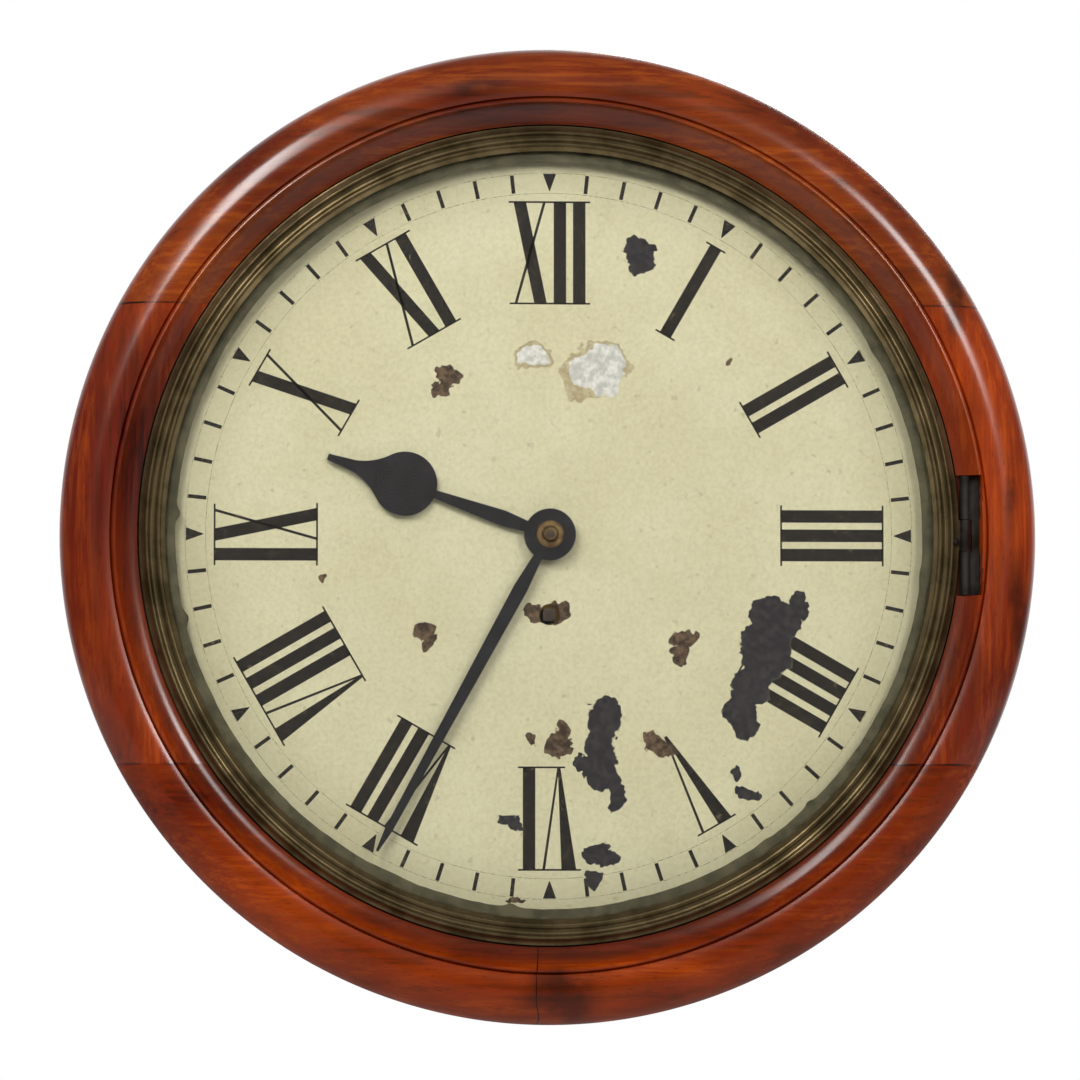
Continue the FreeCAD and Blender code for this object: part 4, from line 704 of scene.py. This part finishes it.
# Each stroke of a letter: left and right of its foot, then left and right of its head
LETTERS = {
    "I": [((0, STROKE), (0, STROKE))],
    "V": [((6.2, 7.2), (0, 5.8)), ((6.6, 7.4), (12.2, 12.2 + HAIR))],
    "X": [((8.2, 8.2 + STROKE), (0, STROKE)), ((0.4, 0.4 + HAIR), (11.6, 11.6 + HAIR))],
}
ADVANCE = {"I": PITCH, "V": 16.0, "X": 15.8}
MARK_INNER, MARK_OUTER = 135, 142.2
PAINT_ROOT, PAINT_TOP, TRACK_TOP = DIAL_FACE - 0.02, DIAL_FACE + 0.04, DIAL_FACE + 0.03
TRACK_RADII, TRACK_WIDTH = (142.4, 134.4), 0.2
HOURS = ["XII", "I", "II", "III", "IIII", "V", "VI", "VII", "VIII", "IX", "X", "XI"]


def numeral_strokes(word):
    """Four-cornered strokes of a numeral as (across, radius), feet to the centre."""
    strokes = []
    start = 0.0
    for letter in word:
        for (foot_left, foot_right), (head_left, head_right) in LETTERS[letter]:
            strokes.append([(start + foot_left, FEET_RADIUS), (start + foot_right, FEET_RADIUS),
                            (start + head_right, HEAD_RADIUS), (start + head_left, HEAD_RADIUS)])
        start += ADVANCE[letter]
    wide = start - (PITCH - STROKE)
    ends = [HEAD_RADIUS] if word == "V" else [HEAD_RADIUS, FEET_RADIUS]
    reach = np.array(strokes)
    for radius in ends:
        across = reach[..., 0][reach[..., 1] == radius]
        left, right = across.min() - OVERHANG, across.max() + OVERHANG
        strokes.append([(left, radius - BAR / 2), (right, radius - BAR / 2),
                        (right, radius + BAR / 2), (left, radius + BAR / 2)])
    return np.array(strokes) - (wide / 2, 0)


def round_the_dial(strokes, degrees):
    """Strokes turned to their hour: (r sin a + u cos a, r cos a - u sin a)."""
    angle = math.radians(degrees)
    across, radius = strokes[..., 0], strokes[..., 1]
    return np.stack([radius * math.sin(angle) + across * math.cos(angle),
                     radius * math.cos(angle) - across * math.sin(angle)], axis=-1)


def make_printing():
    """Numerals and minute marks, each four-cornered stroke a thin box of paint, and two turned tracks."""
    strokes = [round_the_dial(numeral_strokes(word), 30 * hour) for hour, word in enumerate(HOURS)]
    bar = np.array([[(-0.75, MARK_INNER), (0.75, MARK_INNER), (0.75, MARK_OUTER), (-0.75, MARK_OUTER)]])
    tip = MARK_INNER + 0.4
    arrow = np.array([[(-0.15, tip), (0.15, tip), (2.6, MARK_OUTER), (-2.6, MARK_OUTER)]])
    for minute in range(60):
        strokes.append(round_the_dial(arrow if minute % 5 == 0 else bar, 6 * minute))
    flat = np.concatenate(strokes)
    layers = [np.insert(flat, 1, depth, axis=-1) for depth in (PAINT_ROOT, PAINT_TOP)]
    points = np.stack(layers, axis=1).reshape(-1, 3)
    box = np.array([(0, 1, 2, 3), (4, 7, 6, 5), (0, 4, 5, 1), (1, 5, 6, 2), (2, 6, 7, 3), (3, 7, 4, 0)])
    faces = (np.arange(len(flat))[:, None, None] * 8 + box).reshape(-1, 4)
    printing = make_piece("dial_printing", points, faces, "case", dial_ink)
    for index, radius in enumerate(TRACK_RADII):
        outer = radius + TRACK_WIDTH
        section = np.array([(radius, PAINT_ROOT), (radius, TRACK_TOP),
                            (outer, TRACK_TOP), (outer, PAINT_ROOT)])
        points, faces = whole_ring(section, 360)
        track = make_piece(f"minute_track_{index + 1}", points, faces, "case", faded_ink)


make_printing()


# Collet and the rivet of the bezel's hinge

def make_collet():
    """A turned washer with a groove and a low dome, open in the middle for the arbor's end."""
    seat = COLLET_SEAT
    section = [
        (1.65, seat), (5.4, seat), (5.4, seat + 0.7), (4.7, seat + 1.2), (3.5, seat + 1.3),
        (3.3, seat + 1.0), (3.0, seat + 1.2), (2.6, seat + 2.2, -1.4), (1.65, seat + 2.6),
    ]
    points, faces = whole_ring(profile_of(section, 0.25), 96)
    make_piece("domed_collet", points, faces, "minute", collet_brass, ["hand_collet"])


def make_rivet():
    """Half of a flattened ball that leans out with the bezel's outer slope."""
    rows, columns = 9, 32
    radius, height_out, lean = 1.6, 0.9, math.radians(50)
    centre_x, centre_height = SIGHT + 9.1, -2.7
    turn, rise = np.meshgrid(np.arange(columns) * 2 * math.pi / columns, np.linspace(0, math.pi / 2, rows))
    across = radius * np.sin(rise)
    out = height_out * np.cos(rise)
    x = centre_x + out * math.sin(lean) + across * np.cos(turn) * math.cos(lean)
    depth = RIM + 0.9 + out * math.cos(lean) - across * np.cos(turn) * math.sin(lean)
    height = centre_height + across * np.sin(turn)
    points = np.stack([x, depth, height], axis=-1)
    faces = grid_faces(rows, columns, wrap_columns=True)
    rivet = make_piece("bezel_rivet", points, faces, "bezel", iron, capped=True)


make_collet()
make_rivet()


# Solids that keep their own shape

KEPT = {
    board_upright: ["box_left_side", "box_right_side", "side_door", "case_pegs"],
    board_level: ["box_top", "box_bottom", "bottom_door"],
    softwood: ["backboard", "surround_blocks"],
    iron: ["hanging_plate", "wood_screws", "bezel_hinge_plate", "bezel_hinge_knuckle", "bezel_catch"],
    dial_cream: ["dial_plate"],
    hand_black: ["hour_hand", "minute_hand"],
    steel: ["taper_pins", "third_arbor", "escape_arbor", "pallet_anchor", "crutch",
            "barrel_arbor", "mainspring", "setup_work", "suspension_spring", "pendulum_rod"],
    old_steel: ["fusee_arbor", "centre_arbor"],
    gut_line: ["fusee_line"],
    clock_brass: ["side_door_knob", "side_door_fixed_leaves", "side_door_moving_leaves",
                  "bottom_door_fixed_leaves", "bottom_door_moving_leaves", "dial_feet", "front_plate",
                  "back_plate", "plate_pillars", "hour_bridge", "back_cock", "centre_wheel", "third_wheel",
                  "escape_wheel", "great_wheel", "fusee", "barrel", "cannon_pinion", "hour_wheel",
                  "minute_wheel", "pendulum_bob", "rating_nut"],
}
for finish, names in KEPT.items():
    for name in names:
        NODES[name].data.materials.clear()
        NODES[name].data.materials.append(finish)


# Floor, light and camera

def background_seen(tree, mirrored):
    """1 where the background shows directly or through glass, 0 where it only lights a surface.

    In reflections it is what mirrored says."""
    rays = put(tree, "ShaderNodeLightPath", {}).outputs
    seen = calculate(tree, "MAXIMUM", rays["Is Camera Ray"], rays["Is Transmission Ray"])
    seen = calculate(tree, "MAXIMUM", seen, calculate(tree, "MULTIPLY", rays["Is Glossy Ray"], mirrored))
    direct = calculate(tree, "LESS_THAN", rays["Diffuse Depth"], 0.5)
    return calculate(tree, "MULTIPLY", seen, direct)


def make_floor():
    """Pale plane, white to the camera and clear from below."""
    plane = bpy.data.meshes.new("floor")
    reach = 6.0
    level = cad_low.z - 1.4
    corners = [(-reach, -reach, level), (reach, -reach, level), (reach, reach, level), (-reach, reach, level)]
    plane.from_pydata(corners, [], [(0, 1, 2, 3)])
    finish, tree, shader, place = new_finish("pale_floor", Roughness=0.8, Specular_IOR_Level=0.1)
    dust = use_group(tree, GRIME, {"Vector": place, "Scale": 3.0})["Mask"]
    tone = mixed(tree, dust, (0.5, 0.5, 0.5, 1), (0.46, 0.46, 0.46, 1))
    tree.links.new(tone, shader.inputs["Base Color"])
    seen = background_seen(tree, 0.0)
    shader.inputs["Emission Color"].default_value = (1, 1, 1, 1)
    tree.links.new(calculate(tree, "MULTIPLY", seen, 0.8), shader.inputs["Emission Strength"])
    below = put(tree, "ShaderNodeNewGeometry", {}).outputs["Backfacing"]
    clear = put(tree, "ShaderNodeBsdfTransparent", {})
    either = put(tree, "ShaderNodeMixShader", {0: below, 1: shader.outputs[0], 2: clear.outputs[0]})
    tree.links.new(either.outputs[0], tree.nodes["Material Output"].inputs["Surface"])
    plane.materials.append(finish)
    floor = bpy.data.objects.new("floor", plane)
    bpy.context.scene.collection.objects.link(floor)


def make_world():
    """White to the camera, through glass and in reflections of what is behind.

    As light it is dimmer and grows from below to above, and it is dimmest in other reflections."""
    world = bpy.data.worlds.new("studio")
    bpy.context.scene.world = world
    world.use_nodes = True
    tree = world.node_tree
    towards = put(tree, "ShaderNodeTexCoord", {}).outputs["Generated"]
    _, away, up = put(tree, "ShaderNodeSeparateXYZ", {0: towards}).outputs
    seen = background_seen(tree, eased(tree, away, 0.4, 0.9))
    soft = ranged(tree, eased(tree, up, -0.6, 0.6), 0.16, 0.54)
    glossy = put(tree, "ShaderNodeLightPath", {}).outputs["Is Glossy Ray"]
    soft = calculate(tree, "MULTIPLY", soft, ranged(tree, glossy, 1.0, 0.16))
    strength = ranged(tree, seen, soft, 1.0)
    background = tree.nodes["Background"]
    background.inputs["Color"].default_value = (1, 1, 1, 1)
    tree.links.new(strength, background.inputs["Strength"])


def make_light(name, place, size, power, roll):
    """A softbox that faces the dial, rolled about its own axis."""
    lamp = bpy.data.lights.new(name, "AREA")
    lamp.shape = "RECTANGLE"
    lamp.size, lamp.size_y = size
    lamp.energy = power
    light = bpy.data.objects.new(name, lamp)
    light.location = place
    aim = (Vector((0, -0.11, 0)) - Vector(place)).to_track_quat("-Z", "Y")
    light.rotation_euler = (aim @ Quaternion((0, 0, 1), math.radians(roll))).to_euler()
    bpy.context.scene.collection.objects.link(light)


def make_camera():
    """Long lens a little left of the axis and below it; the shift puts the ring where the photo has it."""
    pixels, sensor, distance = 1080, 36, 2.5
    lens = bpy.data.cameras.new("camera")
    lens.sensor_width = sensor
    lens.lens = sensor * distance / (pixels * PIXEL * MM)
    lens.shift_x = -9.3 / pixels
    lens.shift_y = -4.8 / pixels
    camera = bpy.data.objects.new("camera", lens)
    azimuth, elevation = math.radians(-3), math.radians(-3.5)
    ring = Vector((0, -BOX_FRONT * MM - 0.012, 0))
    level = math.cos(elevation)
    away = Vector((math.sin(azimuth) * level, -math.cos(azimuth) * level, math.sin(elevation)))
    camera.location = ring + distance * away
    camera.rotation_euler = (-away).to_track_quat("-Z", "Y").to_euler()
    bpy.context.scene.collection.objects.link(camera)
    bpy.context.scene.camera = camera


make_floor()
make_world()
make_light("left_softbox", (-0.69, -1.7, 1.03), (0.28, 1.1), 13, 34)
make_light("right_softbox", (0.88, -1.75, 0.66), (0.36, 0.5), 6.6, -53)
make_light("rear_softbox", (0.9, 2.6, 1.5), (1.2, 1.2), 22, 0)
make_camera()
bpy.context.scene.view_settings.view_transform = "Standard"
